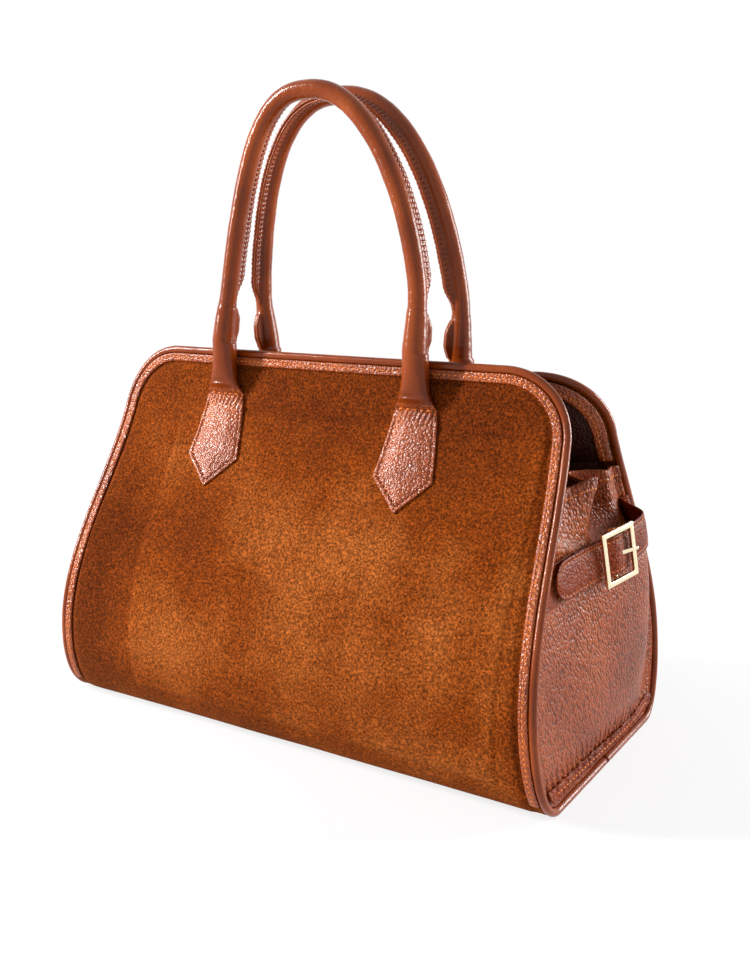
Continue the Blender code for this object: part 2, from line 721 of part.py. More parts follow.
def make_tab(name, side, hand, finish):
    """A pointed tab sewn on the panel, drawn up into a collar under the handle's end."""
    sections = tab_sections()
    rings = []
    for section, following in zip(sections, sections[1:]):
        rings.append(tab_ring(side, hand, *section))
        for v in ROWS:
            depth = PANEL_HEIGHT - nominal_height(v)
            if following[0] + CLEARANCE < depth < section[0] - CLEARANCE:
                share = (section[0] - depth)/(section[0] - following[0])
                between = [blend(a, b, share) for a, b in zip(section, following)]
                rings.append(tab_ring(side, hand, *between))
    rings.append(tab_ring(side, hand, *sections[-1]))
    centre = hinge_point(side, hand)
    normal = Vector((0, side*math.sin(COLLAR_TILT), math.cos(COLLAR_TILT)))
    down = Vector((0, side*math.cos(COLLAR_TILT), -math.sin(COLLAR_TILT)))
    drop = SLEEVE_RADIUS + CLEARANCE
    middle = centre - normal*drop + down*drop*math.tan(COLLAR_TILT)
    across = Vector((1, 0, 0))
    rings.append([middle + COLLAR_RADIUS*(math.cos(a)*across + math.sin(a)*down) for a in ring_angles()])
    return loft(name, rings, finish)


# The straps and buckles: s runs along the strap to the back, w up it and h out from the gusset
def strap_span(hand):
    v = v_at(STRAP_HEIGHT)
    return (gusset_point(hand, 1, v) - gusset_point(hand, 0, v)).length


def strap_line(s, span, above=0):
    """A place on a gusset at a distance along the rising strap, or that far above it."""
    return BUCKLE_PLACE_SHARE + s/span, v_at(STRAP_HEIGHT + STRAP_RISE_SHARE*s + above)


def belly_point(hand, q, v):
    """A point where a gusset would be without its folds, which the strap spans."""
    return gusset_point(hand, q, v, gusset_fold(hand, q, v))


def strap_frame(hand, s):
    """The frame on a gusset's face under the strap, at a distance along it from the buckle."""
    span = strap_span(hand)
    step = SLOPE_STEP_SHARE*span
    place = belly_point(hand, *strap_line(s, span))
    ends = [belly_point(hand, *strap_line(s + shift, span)) for shift in (-step, step)]
    edges = [belly_point(hand, *strap_line(s, span, above)) for above in (-step, step)]
    along = (ends[1] - ends[0]).normalized()
    up = edges[1] - edges[0]
    out = hand*along.cross(up).normalized()
    up = out.cross(along)
    return Matrix((along, up, out)).transposed().to_4x4(), place


def strap_matrix(hand, s):
    turn, place = strap_frame(hand, s)
    return Matrix.Translation(place) @ turn


def seam_slant(hand, side):
    """How far a seam runs along the strap for each step up it."""
    s = seam_place(hand, side)
    v = strap_line(s, strap_span(hand))[1]
    x = hand*half_width(v, GUSSET_INSET)
    run = panel_point(side, x, v + SLOPE_STEP_SHARE) - panel_point(side, x, v - SLOPE_STEP_SHARE)
    run = strap_frame(hand, s)[0].inverted() @ run
    return run.x/run.y


def seam_place(hand, side):
    """How far along the strap a seam is from the buckle, negative to the front."""
    share = 1 - BUCKLE_PLACE_SHARE if side == BACK else -BUCKLE_PLACE_SHARE
    return share*strap_span(hand)


def end_shear(hand, s):
    """The strap's section turns from square at the buckle to the slant of the seam it is sewn in."""
    side = BACK if s > 0 else FRONT
    seam = abs(seam_place(hand, side))
    return seam_slant(hand, side)*ease((abs(s) - BAR_OFFSET)/(seam - BAR_OFFSET))


def strap_ring(hand, s, level, thickness, half, shear=0):
    """A strap's section: level is the height of its middle above the gusset.

    The strap is flat under the buckle and follows the gusset beyond it.
    """
    flat = abs(s) <= BAR_OFFSET
    frame = strap_matrix(hand, 0 if flat else s)
    start = s if flat else 0
    corners = ((-half, 1), (half, 1), (half, -1), (-half, -1))
    return [frame @ Vector((start + shear*w, w, level + sign*thickness/2)) for w, sign in corners]


def folded_ring(hand, place, direction, thickness, half):
    """A section of a folded strip: place and direction are in the buckle's own s and h."""
    frame = strap_matrix(hand, 0)
    normal = (-direction[1]*thickness/2, direction[0]*thickness/2)
    corners = ((-half, 1), (half, 1), (half, -1), (-half, -1))
    return [frame @ Vector((place[0] + sign*normal[0], w, place[1] + sign*normal[1]))
            for w, sign in corners]


def make_chape(name, hand, finish):
    """The short strap from the front seam, folded round the buckle's middle bar."""
    low = CLEARANCE + CHAPE_THICKNESS/2
    seam = seam_place(hand, FRONT) + STRAP_END_MARGIN
    half = STRAP_WIDTH/2
    rings = []
    for share in steps(6):
        s = blend(seam, -BAR_OFFSET, share)
        rings.append(strap_ring(hand, s, low, CHAPE_THICKNESS, half, end_shear(hand, s)))
    path = [((-LOOP_RADIUS*2, low), (1, 0))]
    for share in steps(6):
        angle = -math.pi/2 + share*math.pi
        centre = (LOOP_RADIUS*math.cos(angle), BAR_CENTRE_LEVEL + LOOP_RADIUS*math.sin(angle))
        path.append((centre, (-math.sin(angle), math.cos(angle))))
    top = BAR_CENTRE_LEVEL + LOOP_RADIUS
    for share in CHAPE_FOLD_SHARES:
        fall = ease(share)
        slope = -(top - OVER_LAYER_LEVEL)*6*share*(1 - share)/BAR_OFFSET
        length = math.hypot(1, slope)
        path.append(((-BAR_OFFSET*share, blend(top, OVER_LAYER_LEVEL, fall)), (-1/length, slope/length)))
    rings += [folded_ring(hand, place, direction, CHAPE_THICKNESS, half) for place, direction in path]
    for share in steps(3):
        ring = strap_ring(hand, blend(-BAR_OFFSET, -CHAPE_TURN_BACK, share), OVER_LAYER_LEVEL,
                          CHAPE_THICKNESS, half)
        rings.append(ring[3:1:-1] + ring[1::-1])
    chape = loft(name, rings, finish, smooth=False)
    notch = PRONG_WIDTH/2 + CLEARANCE
    reach = LOOP_RADIUS + PRONG_THICKNESS
    low_corner = Vector((-reach, -notch, CLEARANCE + CHAPE_THICKNESS/2 - LOOP_RADIUS))
    high_corner = Vector((reach, notch, TONGUE_HIGH_LEVEL))
    cut(chape, box_cutter(name + "_notch", strap_matrix(hand, 0), low_corner, high_corner))
    return chape


def tongue_level(s):
    if abs(s) < BAR_OFFSET:
        return blend(TONGUE_LOW_LEVEL, TONGUE_HIGH_LEVEL, (1 + math.cos(math.pi*s/BAR_OFFSET))/2)
    if s < 0:
        return TONGUE_LOW_LEVEL
    low = LAYER_GAP + TONGUE_THICKNESS/2
    return blend(TONGUE_LOW_LEVEL, low, ease((s - BAR_OFFSET)/TONGUE_FALL))


def make_tongue(name, hand, finish):
    """The strap from the back seam, woven through the buckle, with a round free end."""
    seam = seam_place(hand, BACK) - STRAP_END_MARGIN
    tip = seam_place(hand, FRONT) + TONGUE_TIP_MARGIN
    half = STRAP_WIDTH/2
    places = []
    for share in TONGUE_END_SHARES:
        width = half*math.sqrt(1 - (1 - share)**2)
        places.append((tip + half*share, width))
    places += [(blend(tip + half, -CHAPE_TURN_BACK, share), half) for share in steps(2)[1:]]
    places += [(blend(-CHAPE_TURN_BACK, -BAR_OFFSET, share), half) for share in steps(3)[1:]]
    places += [(BAR_OFFSET*(2*share - 1), half) for share in steps(12)[1:]]
    places += [(blend(BAR_OFFSET, seam, share), half) for share in steps(9)[1:]]
    rings = []
    for s, width in places:
        shear = end_shear(hand, s) if s > 0 else 0
        rings.append(strap_ring(hand, s, tongue_level(s), TONGUE_THICKNESS, width, shear))
    tongue = loft(name, rings, finish, smooth=False)
    low = Vector((-HOLE_FRONT, -HOLE_WIDTH/2, 0))
    high = Vector((HOLE_REAR, HOLE_WIDTH/2, 2*TONGUE_HIGH_LEVEL))
    cut(tongue, box_cutter(name + "_hole", strap_matrix(hand, 0), low, high))
    return tongue


def frame_level(s):
    """The frame's rails dip to the middle bar and rise to the end bars."""
    return blend(BAR_CENTRE_LEVEL, FRAME_BAR_LEVEL, (s/BAR_OFFSET)**2)


def make_buckle_frame(name, hand, finish):
    """The frame is one bar bent round, with the middle bar joined to its rails."""
    matrix = strap_matrix(hand, 0)
    half_w = (FRAME_HEIGHT - FRAME_BAR_WIDTH)/2
    radius = FRAME_CORNER_RADIUS
    quarter = []
    for share in steps(3)[:-1]:
        quarter.append(((BAR_OFFSET - radius)*share, half_w, math.pi/2))
    for share in steps(3):
        turn = math.pi/2*(1 - share)
        s, w = BAR_OFFSET - radius, half_w - radius
        quarter.append((s + radius*math.cos(turn), w + radius*math.sin(turn), turn))
    quarter.append((BAR_OFFSET, 0, 0))
    path = quarter[:]
    path += [(s, -w, -turn) for s, w, turn in reversed(quarter[1:-1])]
    path += [(-s, -w, math.pi + turn) for s, w, turn in quarter]
    path += [(-s, w, math.pi - turn) for s, w, turn in reversed(quarter[1:-1])]
    rings = []
    for s, w, turn in path:
        across = Vector((math.cos(turn), math.sin(turn), 0))*FRAME_BAR_WIDTH/2
        rise = UP*FRAME_BAR_THICKNESS/2
        middle = Vector((s, w, frame_level(min(abs(s), BAR_OFFSET))))
        crown = across*FRAME_CROWN_SHARE
        shoulder = rise*FRAME_SHOULDER_SHARE
        section = (crown + rise, across + shoulder, across - rise, -across - rise,
                   -across + shoulder, -crown + rise)
        rings.append([matrix @ (middle + offset) for offset in section])
    pivot = strap_matrix(hand, 0) @ Vector((0, 0, BAR_CENTRE_LEVEL))
    frame = loft(name, rings, finish, wrap=True, pivot=pivot)
    ends = [matrix @ Vector((0, w, BAR_CENTRE_LEVEL)) for w in (-half_w, half_w)]
    bar = tube(name + "_bar", ends, CENTRE_BAR_RADIUS, finish)
    PIECES.objects.unlink(bar)
    CUTTERS.objects.link(bar)
    bar.hide_render = True
    bar.display_type = "WIRE"
    join = frame.modifiers.new("middle_bar", "BOOLEAN")
    join.operation = "UNION"
    join.solver = "EXACT"
    join.object = bar
    return frame


def make_prong(name, hand, finish):
    """The prong, curled round the middle bar and resting on the rear bar."""
    curl = CENTRE_BAR_RADIUS + CLEARANCE + PRONG_THICKNESS/2
    seat = FRAME_BAR_LEVEL + FRAME_BAR_THICKNESS/2 + CLEARANCE + PRONG_THICKNESS/2
    rise = seat - BAR_CENTRE_LEVEL
    slope = math.atan2(rise, BAR_OFFSET) - math.asin(curl/math.hypot(rise, BAR_OFFSET))
    path = []
    for share in steps(10):
        angle = math.pi/2 + slope + (1 - share)*PRONG_CURL
        place = (curl*math.cos(angle), BAR_CENTRE_LEVEL + curl*math.sin(angle))
        path.append((place, (math.sin(angle), -math.cos(angle)), PRONG_WIDTH/2))
    start = path[-1][0]
    direction = (math.cos(slope), math.sin(slope))
    length = math.hypot(rise, BAR_OFFSET) + FRAME_BAR_WIDTH/2 + PRONG_OVERHANG
    for share in steps(4)[1:]:
        place = (start[0] + direction[0]*length*share, start[1] + direction[1]*length*share)
        path.append((place, direction, blend(PRONG_WIDTH, PRONG_TIP_WIDTH, share)/2))
    frame = strap_matrix(hand, 0)
    rings = []
    for place, along, half in path:
        normal = (-along[1]*PRONG_THICKNESS/2, along[0]*PRONG_THICKNESS/2)
        corners = ((-half, 1), (half, 1), (half, -1), (-half, -1))
        rings.append([frame @ Vector((place[0] + sign*normal[0], w, place[1] + sign*normal[1]))
                      for w, sign in corners])
    pivot = frame @ Vector((0, 0, BAR_CENTRE_LEVEL))
    return loft(name, rings, finish, pivot=pivot, smooth=False)


def main():
    finishes = {
        "suede": material("brown_suede", (0.30, 0.115, 0.025), 0.95),
        "leather": material("cognac_pebbled_leather", (0.30, 0.085, 0.025), 0.45),
        "gusset": material("brown_gusset_leather", (0.14, 0.045, 0.02), 0.5),
        "board": material("stiffener_board", (0.40, 0.33, 0.24), 0.9),
        "lining": material("cotton_lining", (0.35, 0.25, 0.16), 0.9),
        "cord": material("rope_core", (0.65, 0.58, 0.45), 0.9),
        "brass": material("polished_gold_metal", (0.90, 0.65, 0.28), 0.18, 1.0),
    }
    make_body(finishes)
    make_lining(finishes["lining"])
    for hand, word in ((RIGHT, "right"), (LEFT, "left")):
        make_gusset(word + "_gusset", hand, finishes["gusset"])
        make_base_binding(word + "_base_binding", hand, finishes["leather"])
        make_chape(word + "_buckle_chape", hand, finishes["gusset"])
        make_tongue(word + "_strap_tongue", hand, finishes["gusset"])
        make_buckle_frame(word + "_buckle_frame", hand, finishes["brass"])
        make_prong(word + "_buckle_prong", hand, finishes["brass"])
    for side, word in ((FRONT, "front"), (BACK, "back")):
        make_handle(word, side, finishes)
        for hand, hand_word in ((RIGHT, "right"), (LEFT, "left")):
            make_tab(word + "_" + hand_word + "_handle_tab", side, hand, finishes["leather"])


clear_scene()
ROWS = all_rows()
PIECES = collection("suede_handbag")
CUTTERS = collection("cutters")
main()
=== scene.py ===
"""A suede handbag with rolled leather handles, dressed and lit for a product picture.

Metres, +Z up. +X is the bag's right end and -Y its front, as in the frame.
"""
import bisect
import math

import bpy
import numpy as np
from mathutils import Matrix, Vector, noise


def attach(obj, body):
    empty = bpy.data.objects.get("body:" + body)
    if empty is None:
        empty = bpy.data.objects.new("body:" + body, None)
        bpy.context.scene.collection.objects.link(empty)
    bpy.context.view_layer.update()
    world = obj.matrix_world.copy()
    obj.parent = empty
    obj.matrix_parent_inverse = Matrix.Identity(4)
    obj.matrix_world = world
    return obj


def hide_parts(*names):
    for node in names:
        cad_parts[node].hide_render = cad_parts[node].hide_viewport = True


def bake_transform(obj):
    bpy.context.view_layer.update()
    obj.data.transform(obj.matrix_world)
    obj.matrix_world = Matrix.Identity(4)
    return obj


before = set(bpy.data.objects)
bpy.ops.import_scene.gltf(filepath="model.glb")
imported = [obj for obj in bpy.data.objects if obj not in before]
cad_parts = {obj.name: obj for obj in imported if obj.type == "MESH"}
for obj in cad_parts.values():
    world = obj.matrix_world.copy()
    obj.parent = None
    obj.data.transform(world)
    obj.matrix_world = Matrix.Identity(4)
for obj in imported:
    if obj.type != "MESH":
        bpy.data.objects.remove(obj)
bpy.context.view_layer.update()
bpy.ops.object.select_all(action="DESELECT")

FRONT, BACK = -1, 1
RIGHT, LEFT = 1, -1
HANDS = ((RIGHT, "right"), (LEFT, "left"))
SIDES = ((FRONT, "front"), (BACK, "back"))
UP = Vector((0, 0, 1))
TINY = 1e-9

# Body outline, as the frame has it
PANEL_HEIGHT = 0.235
BASE_HALF_WIDTH = 0.1775
SHOULDER_HALF_WIDTH = 0.162
CORNER_RADIUS = 0.042
BASE_HALF_DEPTH = 0.070
BELLY_HALF_DEPTH = 0.0962
BELLY_HEIGHT = 0.052
MOUTH_HALF_DEPTH = 0.0306
BACK_LEAN = 0.035
BACK_DROP = 0.007
LEAN_RISE_POWER = 1.3
FLARE_START_SHARE = 0.55
FLARE_LEAN_SHARE = 0.15
CORNER_HEIGHT = PANEL_HEIGHT - CORNER_RADIUS

# Sheets and edges
SUEDE_THICKNESS = 0.0012
BINDING_THICKNESS = 0.0012
GUSSET_THICKNESS = 0.0018
LINING_OUT = -0.0032
LINING_THICKNESS = 0.0006
FACING_THICKNESS = 0.0008
PIPING_RADIUS = 0.0024
PIPING_SET_BACK = 0.0011
PIPING_LIFT_SHARE = 0.6
PIPING_STEP = 0.0012
EDGE_INSET = 0.0050
BINDING_WIDTH = 0.0054
# The row of a panel (0 at the base, 1 at the belly) that its binding starts at
BINDING_START = 0.42
INNER_BINDING_WIDTH = 0.0070
FACING_LOWER_HEIGHT = 0.178
BASE_BINDING_LOW = 0.0058
BASE_BINDING_HIGH = 0.0150
# A gusset's foot between its seams
FOOT_RUN = 0.135
FOOT_STRIP_START = 0.015
FOOT_PUCKER = 0.0011

# Gussets
GUSSET_TOP_HEIGHT = 0.174
GUSSET_INSET = 0.0029
GUSSET_BULGE = 0.0180
BULGE_SKEW_POWER = 1.67
SWELL_HEIGHT = 0.139
GUSSET_CREST = 0.0060
CREST_LIFT = 0.0050
CREST_PLACE_SHARE = 0.22
CREST_SPREAD_SHARE = 0.18
PLEAT_DEPTH = 0.034
LEFT_PLEAT_DEPTH = 0.036
PLEAT_START_HEIGHT = 0.122
PLEAT_FULL_HEIGHT = 0.156
CREST_START_HEIGHT = 0.146
PLEAT_PLACE_SHARE = 0.60
PLEAT_SPREAD_SHARE = 0.36
BACK_BELLY = 0.0015
BACK_VALLEY = 0.0080
HEM_DEPTH = 0.0080
HEM_ROLL = 0.0006
HEM_STITCH_INSET = 0.0022
LINING_SHIFT = 0.0029
LINING_DROP = 0.006

# Handles and tabs
TAB_SPACING = 0.144
HANDLE_OFFSET = -0.0030
HINGE_OUT = 0.0096
HINGE_RISE = 0.005
HANDLE_HEIGHTS = {FRONT: 0.1470, BACK: 0.1530}
COVER_RADIUS = 0.0054
SLEEVE_TOP = 0.0250
SLEEVE_SWELL = 0.0014
# A sleeve at its foot and at its top, and the fin inside it
SLEEVE_RADII = (0.0071, 0.0060)
SLEEVE_FIN_REACH = 0.0036
SLEEVE_FIN_HALF = 0.0022
HANDLE_LEANS = {FRONT: -0.0018, BACK: 0.0150}
ARCH_POWERS = {FRONT: (0.84, 1.25), BACK: (0.85, 1.00)}
ARCH_SPAN_SHARES = {FRONT: 0.98, BACK: 1.04}
# How the arches stand off the tabs' own middles: at the foot, half way up and at the top
SWAYS = {FRONT: (0.0025, 0.0032, -0.0038), BACK: (0.0035, 0.0005, -0.0045)}
# The front handle's right foot stands further in, with its tab
RIGHT_FOOT_LEAN = -0.0046
RIGHT_FOOT_HEIGHT = 0.040
RIGHT_TAB_SHIFT = -0.0030
CORE_RADIUS = 0.0038
FIN_REACH = 0.0046
FIN_START = 0.0240
FIN_RUN_OUT = 0.0160
FIN_HALF_THICKNESS = 0.0019
# The groove between a fin's two edges, the rounding of its corners and its fillet to the tube
FIN_GROOVE = 0.0007
FIN_ROUND = 0.0006
FIN_FILLET = 0.0012
FIN_STITCH_PITCH = 0.0030
FIN_STITCH_REACH = 0.0019
# How a fin is turned from the bag's inside at the handle's right and left ends, in degrees
FIN_TURNS = {FRONT: (-24, 14), BACK: (-40, 12)}
TAB_TIP_DEPTH = 0.0850
TAB_CORNER_DEPTH = 0.0675
TAB_NECK_DEPTH = 0.0285
TAB_NECK_HALF_WIDTH = 0.0139
TAB_HALF_WIDTH = 0.0198

# Straps and buckles
STRAP_HEIGHT = 0.1335
STRAP_RISE_SHARE = 0.15
STRAP_WIDTH = 0.0220
BUCKLE_PLACE_SHARE = 0.43
STRAP_END_MARGIN = 0.0015
STRAP_STITCH_INSET = 0.0024
CHAPE_TURN_BACK = 0.0300
CHAPE_THICKNESS = 0.0009
TONGUE_THICKNESS = 0.0012
TONGUE_TIP_MARGIN = 0.0050
TONGUE_FALL = 0.0120
FRAME_LENGTH = 0.0280
FRAME_HEIGHT = 0.0310
FRAME_BAR_WIDTH = 0.0030
FRAME_BAR_THICKNESS = 0.0022
FRAME_TILT_ROOM = 0.0015
CENTRE_BAR_RADIUS = 0.0010
LUG_LENGTH = 0.0030
LUG_WIDTH = 0.0024
PRONG_WIDTH = 0.0026
PRONG_TIP_WIDTH = 0.0018
PRONG_OVERHANG = 0.0004
PRONG_CURL = math.radians(265)
PRONG_THICKNESS = 0.0009
GAP = 0.0003
LAYER_GAP = 0.0005
BAR_CENTRE_LEVEL = 2*GAP + CHAPE_THICKNESS + CENTRE_BAR_RADIUS
LOOP_RADIUS = CENTRE_BAR_RADIUS + GAP + CHAPE_THICKNESS/2
TONGUE_LOW_LEVEL = 2*GAP + LAYER_GAP + 2*CHAPE_THICKNESS + TONGUE_THICKNESS/2
TONGUE_HIGH_LEVEL = BAR_CENTRE_LEVEL + LOOP_RADIUS + (CHAPE_THICKNESS + TONGUE_THICKNESS)/2 + GAP
FRAME_BAR_LEVEL = TONGUE_LOW_LEVEL + (TONGUE_THICKNESS + FRAME_BAR_THICKNESS)/2 + FRAME_TILT_ROOM
BAR_OFFSET = (FRAME_LENGTH - FRAME_BAR_WIDTH)/2

# Sewing
STITCH_PITCH = 0.0034
STITCH_LENGTH = 0.0026
THREAD_RADIUS = 0.00048
GRAIN_TURN = math.radians(28)


def ease(share):
    share = min(max(share, 0), 1)
    return share*share*(3 - 2*share)


def blend(a, b, share):
    return a + (b - a)*share


def bump(distance, width):
    """1 at a line and 0 beyond a width from it."""
    return ease(1 - abs(distance)/width)


def ripple(point, size, seed=0.0):
    """Smooth noise between -1 and 1, with lumps of a given size."""
    return noise.noise(point/size + Vector((seed, 2*seed, 3*seed)))


def run_lengths(points):
    """How far each point of a run is along it."""
    lengths = [0.0]
    for a, b in zip(points, points[1:]):
        lengths.append(lengths[-1] + (b - a).length)
    return lengths


def spot(lengths, at):
    """The step of a run in which a distance along it falls, and the share of that step."""
    k = min(max(bisect.bisect(lengths, at), 1), len(lengths) - 1)
    return k, (at - lengths[k - 1])/max(lengths[k] - lengths[k - 1], TINY)


def follow(path, w):
    """The step of a path at a share of its steps, its values there, and the way it runs."""
    f = w*(len(path) - 1)
    k = min(int(f), len(path) - 2)
    before, after = path[max(k - 1, 0)], path[min(k + 2, len(path) - 1)]
    run = Vector((after[0] - before[0], after[1] - before[1])).normalized()
    return k, [blend(a, b, f - k) for a, b in zip(path[k], path[k + 1])], run


# Materials
def linear(hex_colour):
    """An sRGB hex colour as Blender's linear RGBA."""
    parts = [int(hex_colour[i:i + 2], 16)/255 for i in (1, 3, 5)]
    return (*[c/12.92 if c <= 0.04045 else ((c + 0.055)/1.055)**2.4 for c in parts], 1)


def add_node(tree, kind, links=(), **settings):
    """Add a node, set its properties or its input sockets, and link its inputs."""
    node = tree.nodes.new(kind)
    for key, value in settings.items():
        if hasattr(node, key):
            setattr(node, key, value)
        else:
            node.inputs[key.replace("_", " ")].default_value = value
    for socket, source in dict(links).items():
        tree.links.new(source, node.inputs[socket])
    return node


def ramp(tree, source, *stops):
    """A colour ramp through (place, colour) stops."""
    node = add_node(tree, "ShaderNodeValToRGB", {"Fac": source})
    band = node.color_ramp
    while len(band.elements) < len(stops):
        band.elements.new(0.5)
    for element, (place, colour) in zip(band.elements, stops):
        element.position = place
        element.color = linear(colour) if isinstance(colour, str) else (colour,)*3 + (1,)
    return node.outputs["Color"]


def new_material(name, **sockets):
    material = bpy.data.materials.new(name)
    material.use_nodes = True
    tree = material.node_tree
    shader = tree.nodes["Principled BSDF"]
    for key, value in sockets.items():
        shader.inputs[key.replace("_", " ")].default_value = value
    return material, tree, shader


def object_point(tree):
    return add_node(tree, "ShaderNodeTexCoord").outputs["Object"]


def mix(tree, kind, factor, first, second):
    """Mix two colours, either of which may be a constant."""
    node = add_node(tree, "ShaderNodeMix", data_type="RGBA", blend_type=kind)
    for socket, value in ((0, factor), (6, first), (7, second)):
        if isinstance(value, bpy.types.NodeSocket):
            tree.links.new(value, node.inputs[socket])
        else:
            node.inputs[socket].default_value = value
    return node.outputs[2]


def suede():
    """Split suede: a brushed nap that lies this way and that, so it is matt and mottled, with painted
    light and shade among its patches.
    """
    material, tree, shader = new_material(
        "split_suede_brushed_nap", Roughness=0.95, Sheen_Weight=0.14, Sheen_Roughness=0.5,
        Sheen_Tint=linear("#d98a45"), Specular_IOR_Level=0.05)
    point = object_point(tree)
    # Hand marks in the nap, 20 to 90 mm across, and the nap patches with their painted light and
    # shade, kept on each point
    marks = add_node(tree, "ShaderNodeTexNoise", {"Vector": point}, Scale=16, Detail=4, Roughness=0.6)
    hand = add_node(tree, "ShaderNodeAttribute", attribute_name="nap")
    total = add_node(tree, "ShaderNodeMath", {0: marks.outputs["Fac"], 1: hand.outputs["Fac"]},
                     operation="ADD")
    base = ramp(tree, total.outputs[0], (0.30, "#5c2506"), (0.55, "#743309"), (0.90, "#955020"))
    # Tufts of fibre about 1.4 mm across, and a finer relief of fibres 0.7 mm apart
    tufts = add_node(tree, "ShaderNodeTexNoise", {"Vector": point}, Scale=700, Detail=3,
                     Roughness=0.8)
    speckle = ramp(tree, tufts.outputs["Fac"], (0.34, 0.25), (0.5, 0.90), (0.66, 2.2))
    colour = mix(tree, "MULTIPLY", 1.0, base, speckle)
    tree.links.new(colour, shader.inputs["Base Color"])
    fibres = add_node(tree, "ShaderNodeTexNoise", {"Vector": point}, Scale=1500, Detail=2)
    rough = add_node(tree, "ShaderNodeBump", {"Height": fibres.outputs["Fac"]}, Strength=0.5,
                     Distance=0.0003)
    tree.links.new(rough.outputs["Normal"], shader.inputs["Normal"])
    return material


def pebbled_leather(name, dark, middle, light, grain, roughness, depth, specular, crease_shade,
                    stretch=1.0):
    """Drum-tumbled cowhide: rounded pebbles with fine creases between, under a satin finish, with
    painted shade in the creases and painted light on the pebble tops.
    """
    material, tree, shader = new_material(
        name, Roughness=roughness, IOR=1.5, Specular_IOR_Level=specular)
    lie = add_node(tree, "ShaderNodeMapping", {"Vector": object_point(tree)}, vector_type="TEXTURE",
                   Rotation=(GRAIN_TURN, 0, 0), Scale=(1, 1, stretch))
    point = lie.outputs["Vector"]
    wander = add_node(tree, "ShaderNodeTexNoise", {"Vector": point}, Scale=0.4/grain, Detail=2)
    shifted = add_node(tree, "ShaderNodeVectorMath", {0: wander.outputs["Color"], 2: point},
                       operation="MULTIPLY_ADD")
    shifted.inputs[1].default_value = (0.9*grain,)*3
    cells = add_node(tree, "ShaderNodeTexVoronoi", {"Vector": shifted.outputs[0]}, Scale=1/grain,
                     feature="SMOOTH_F1", Smoothness=0.35)
    pebble = ramp(tree, cells.outputs["Distance"],
                  (0.05, 1.0), (0.35, 0.82), (0.62, 0.25), (0.8, 0.0))
    pores = add_node(tree, "ShaderNodeTexNoise", {"Vector": point}, Scale=2/grain, Detail=3)
    height = mix(tree, "MIX", 0.15, pebble, pores.outputs["Color"])
    relief = add_node(tree, "ShaderNodeBump", {"Height": height}, Strength=1.0, Distance=depth)
    tree.links.new(relief.outputs["Normal"], shader.inputs["Normal"])
    patches = add_node(tree, "ShaderNodeTexNoise", {"Vector": point}, Scale=25, Detail=3)
    hue = ramp(tree, patches.outputs["Fac"], (0.3, dark), (0.5, middle), (0.75, light))
    # Painted shade darkens the creases between pebbles and painted light brightens the pebble tops
    crease = ramp(tree, pebble, (0.0, 1 - crease_shade), (0.5, 1 - 0.2*crease_shade), (1.0, 1 + 0.1*crease_shade))
    tree.links.new(mix(tree, "MULTIPLY", 1.0, hue, crease), shader.inputs["Base Color"])
    shine = ramp(tree, pores.outputs["Fac"], (0.3, roughness*0.75), (0.7, roughness*1.3))
    tree.links.new(shine, shader.inputs["Roughness"])
    return material


def grained(name, scale, detail, socket, stops, **sockets):
    """A material one of whose sockets follows a fine noise through a ramp's stops."""
    material, tree, shader = new_material(name, **sockets)
    grain = add_node(tree, "ShaderNodeTexNoise", {"Vector": object_point(tree)}, Scale=scale,
                     Detail=detail)
    tree.links.new(ramp(tree, grain.outputs["Fac"], *stops), shader.inputs[socket])
    return material


def waxed_thread(name, dark, light):
    """Waxed polyester thread, two plies twisted."""
    return grained(name, 2500, 1, "Base Color", ((0.3, dark), (0.7, light)), Roughness=0.5,
                   Specular_IOR_Level=0.25)


# A wave texture of scale 1 has this wavelength
WAVE_LENGTH = 0.314


def woven_cloth(name, dark, light, thread):
    """Plain weave: warp and weft cross a thread apart."""
    material, tree, shader = new_material(name, Roughness=0.9, Specular_IOR_Level=0.15)
    point = object_point(tree)
    lines = []
    for axis in ("X", "Z"):
        wave = add_node(tree, "ShaderNodeTexWave", {"Vector": point}, Scale=WAVE_LENGTH/thread,
                        bands_direction=axis, Distortion=0.6)
        lines.append(wave.outputs["Fac"])
    cross = add_node(tree, "ShaderNodeMath", {0: lines[0], 1: lines[1]}, operation="MULTIPLY")
    colour = ramp(tree, cross.outputs[0], (0.1, dark), (0.6, light))
    tree.links.new(colour, shader.inputs["Base Color"])
    relief = add_node(tree, "ShaderNodeBump", {"Height": cross.outputs[0]}, Strength=0.6,
                      Distance=thread/4)
    tree.links.new(relief.outputs["Normal"], shader.inputs["Normal"])
    return material


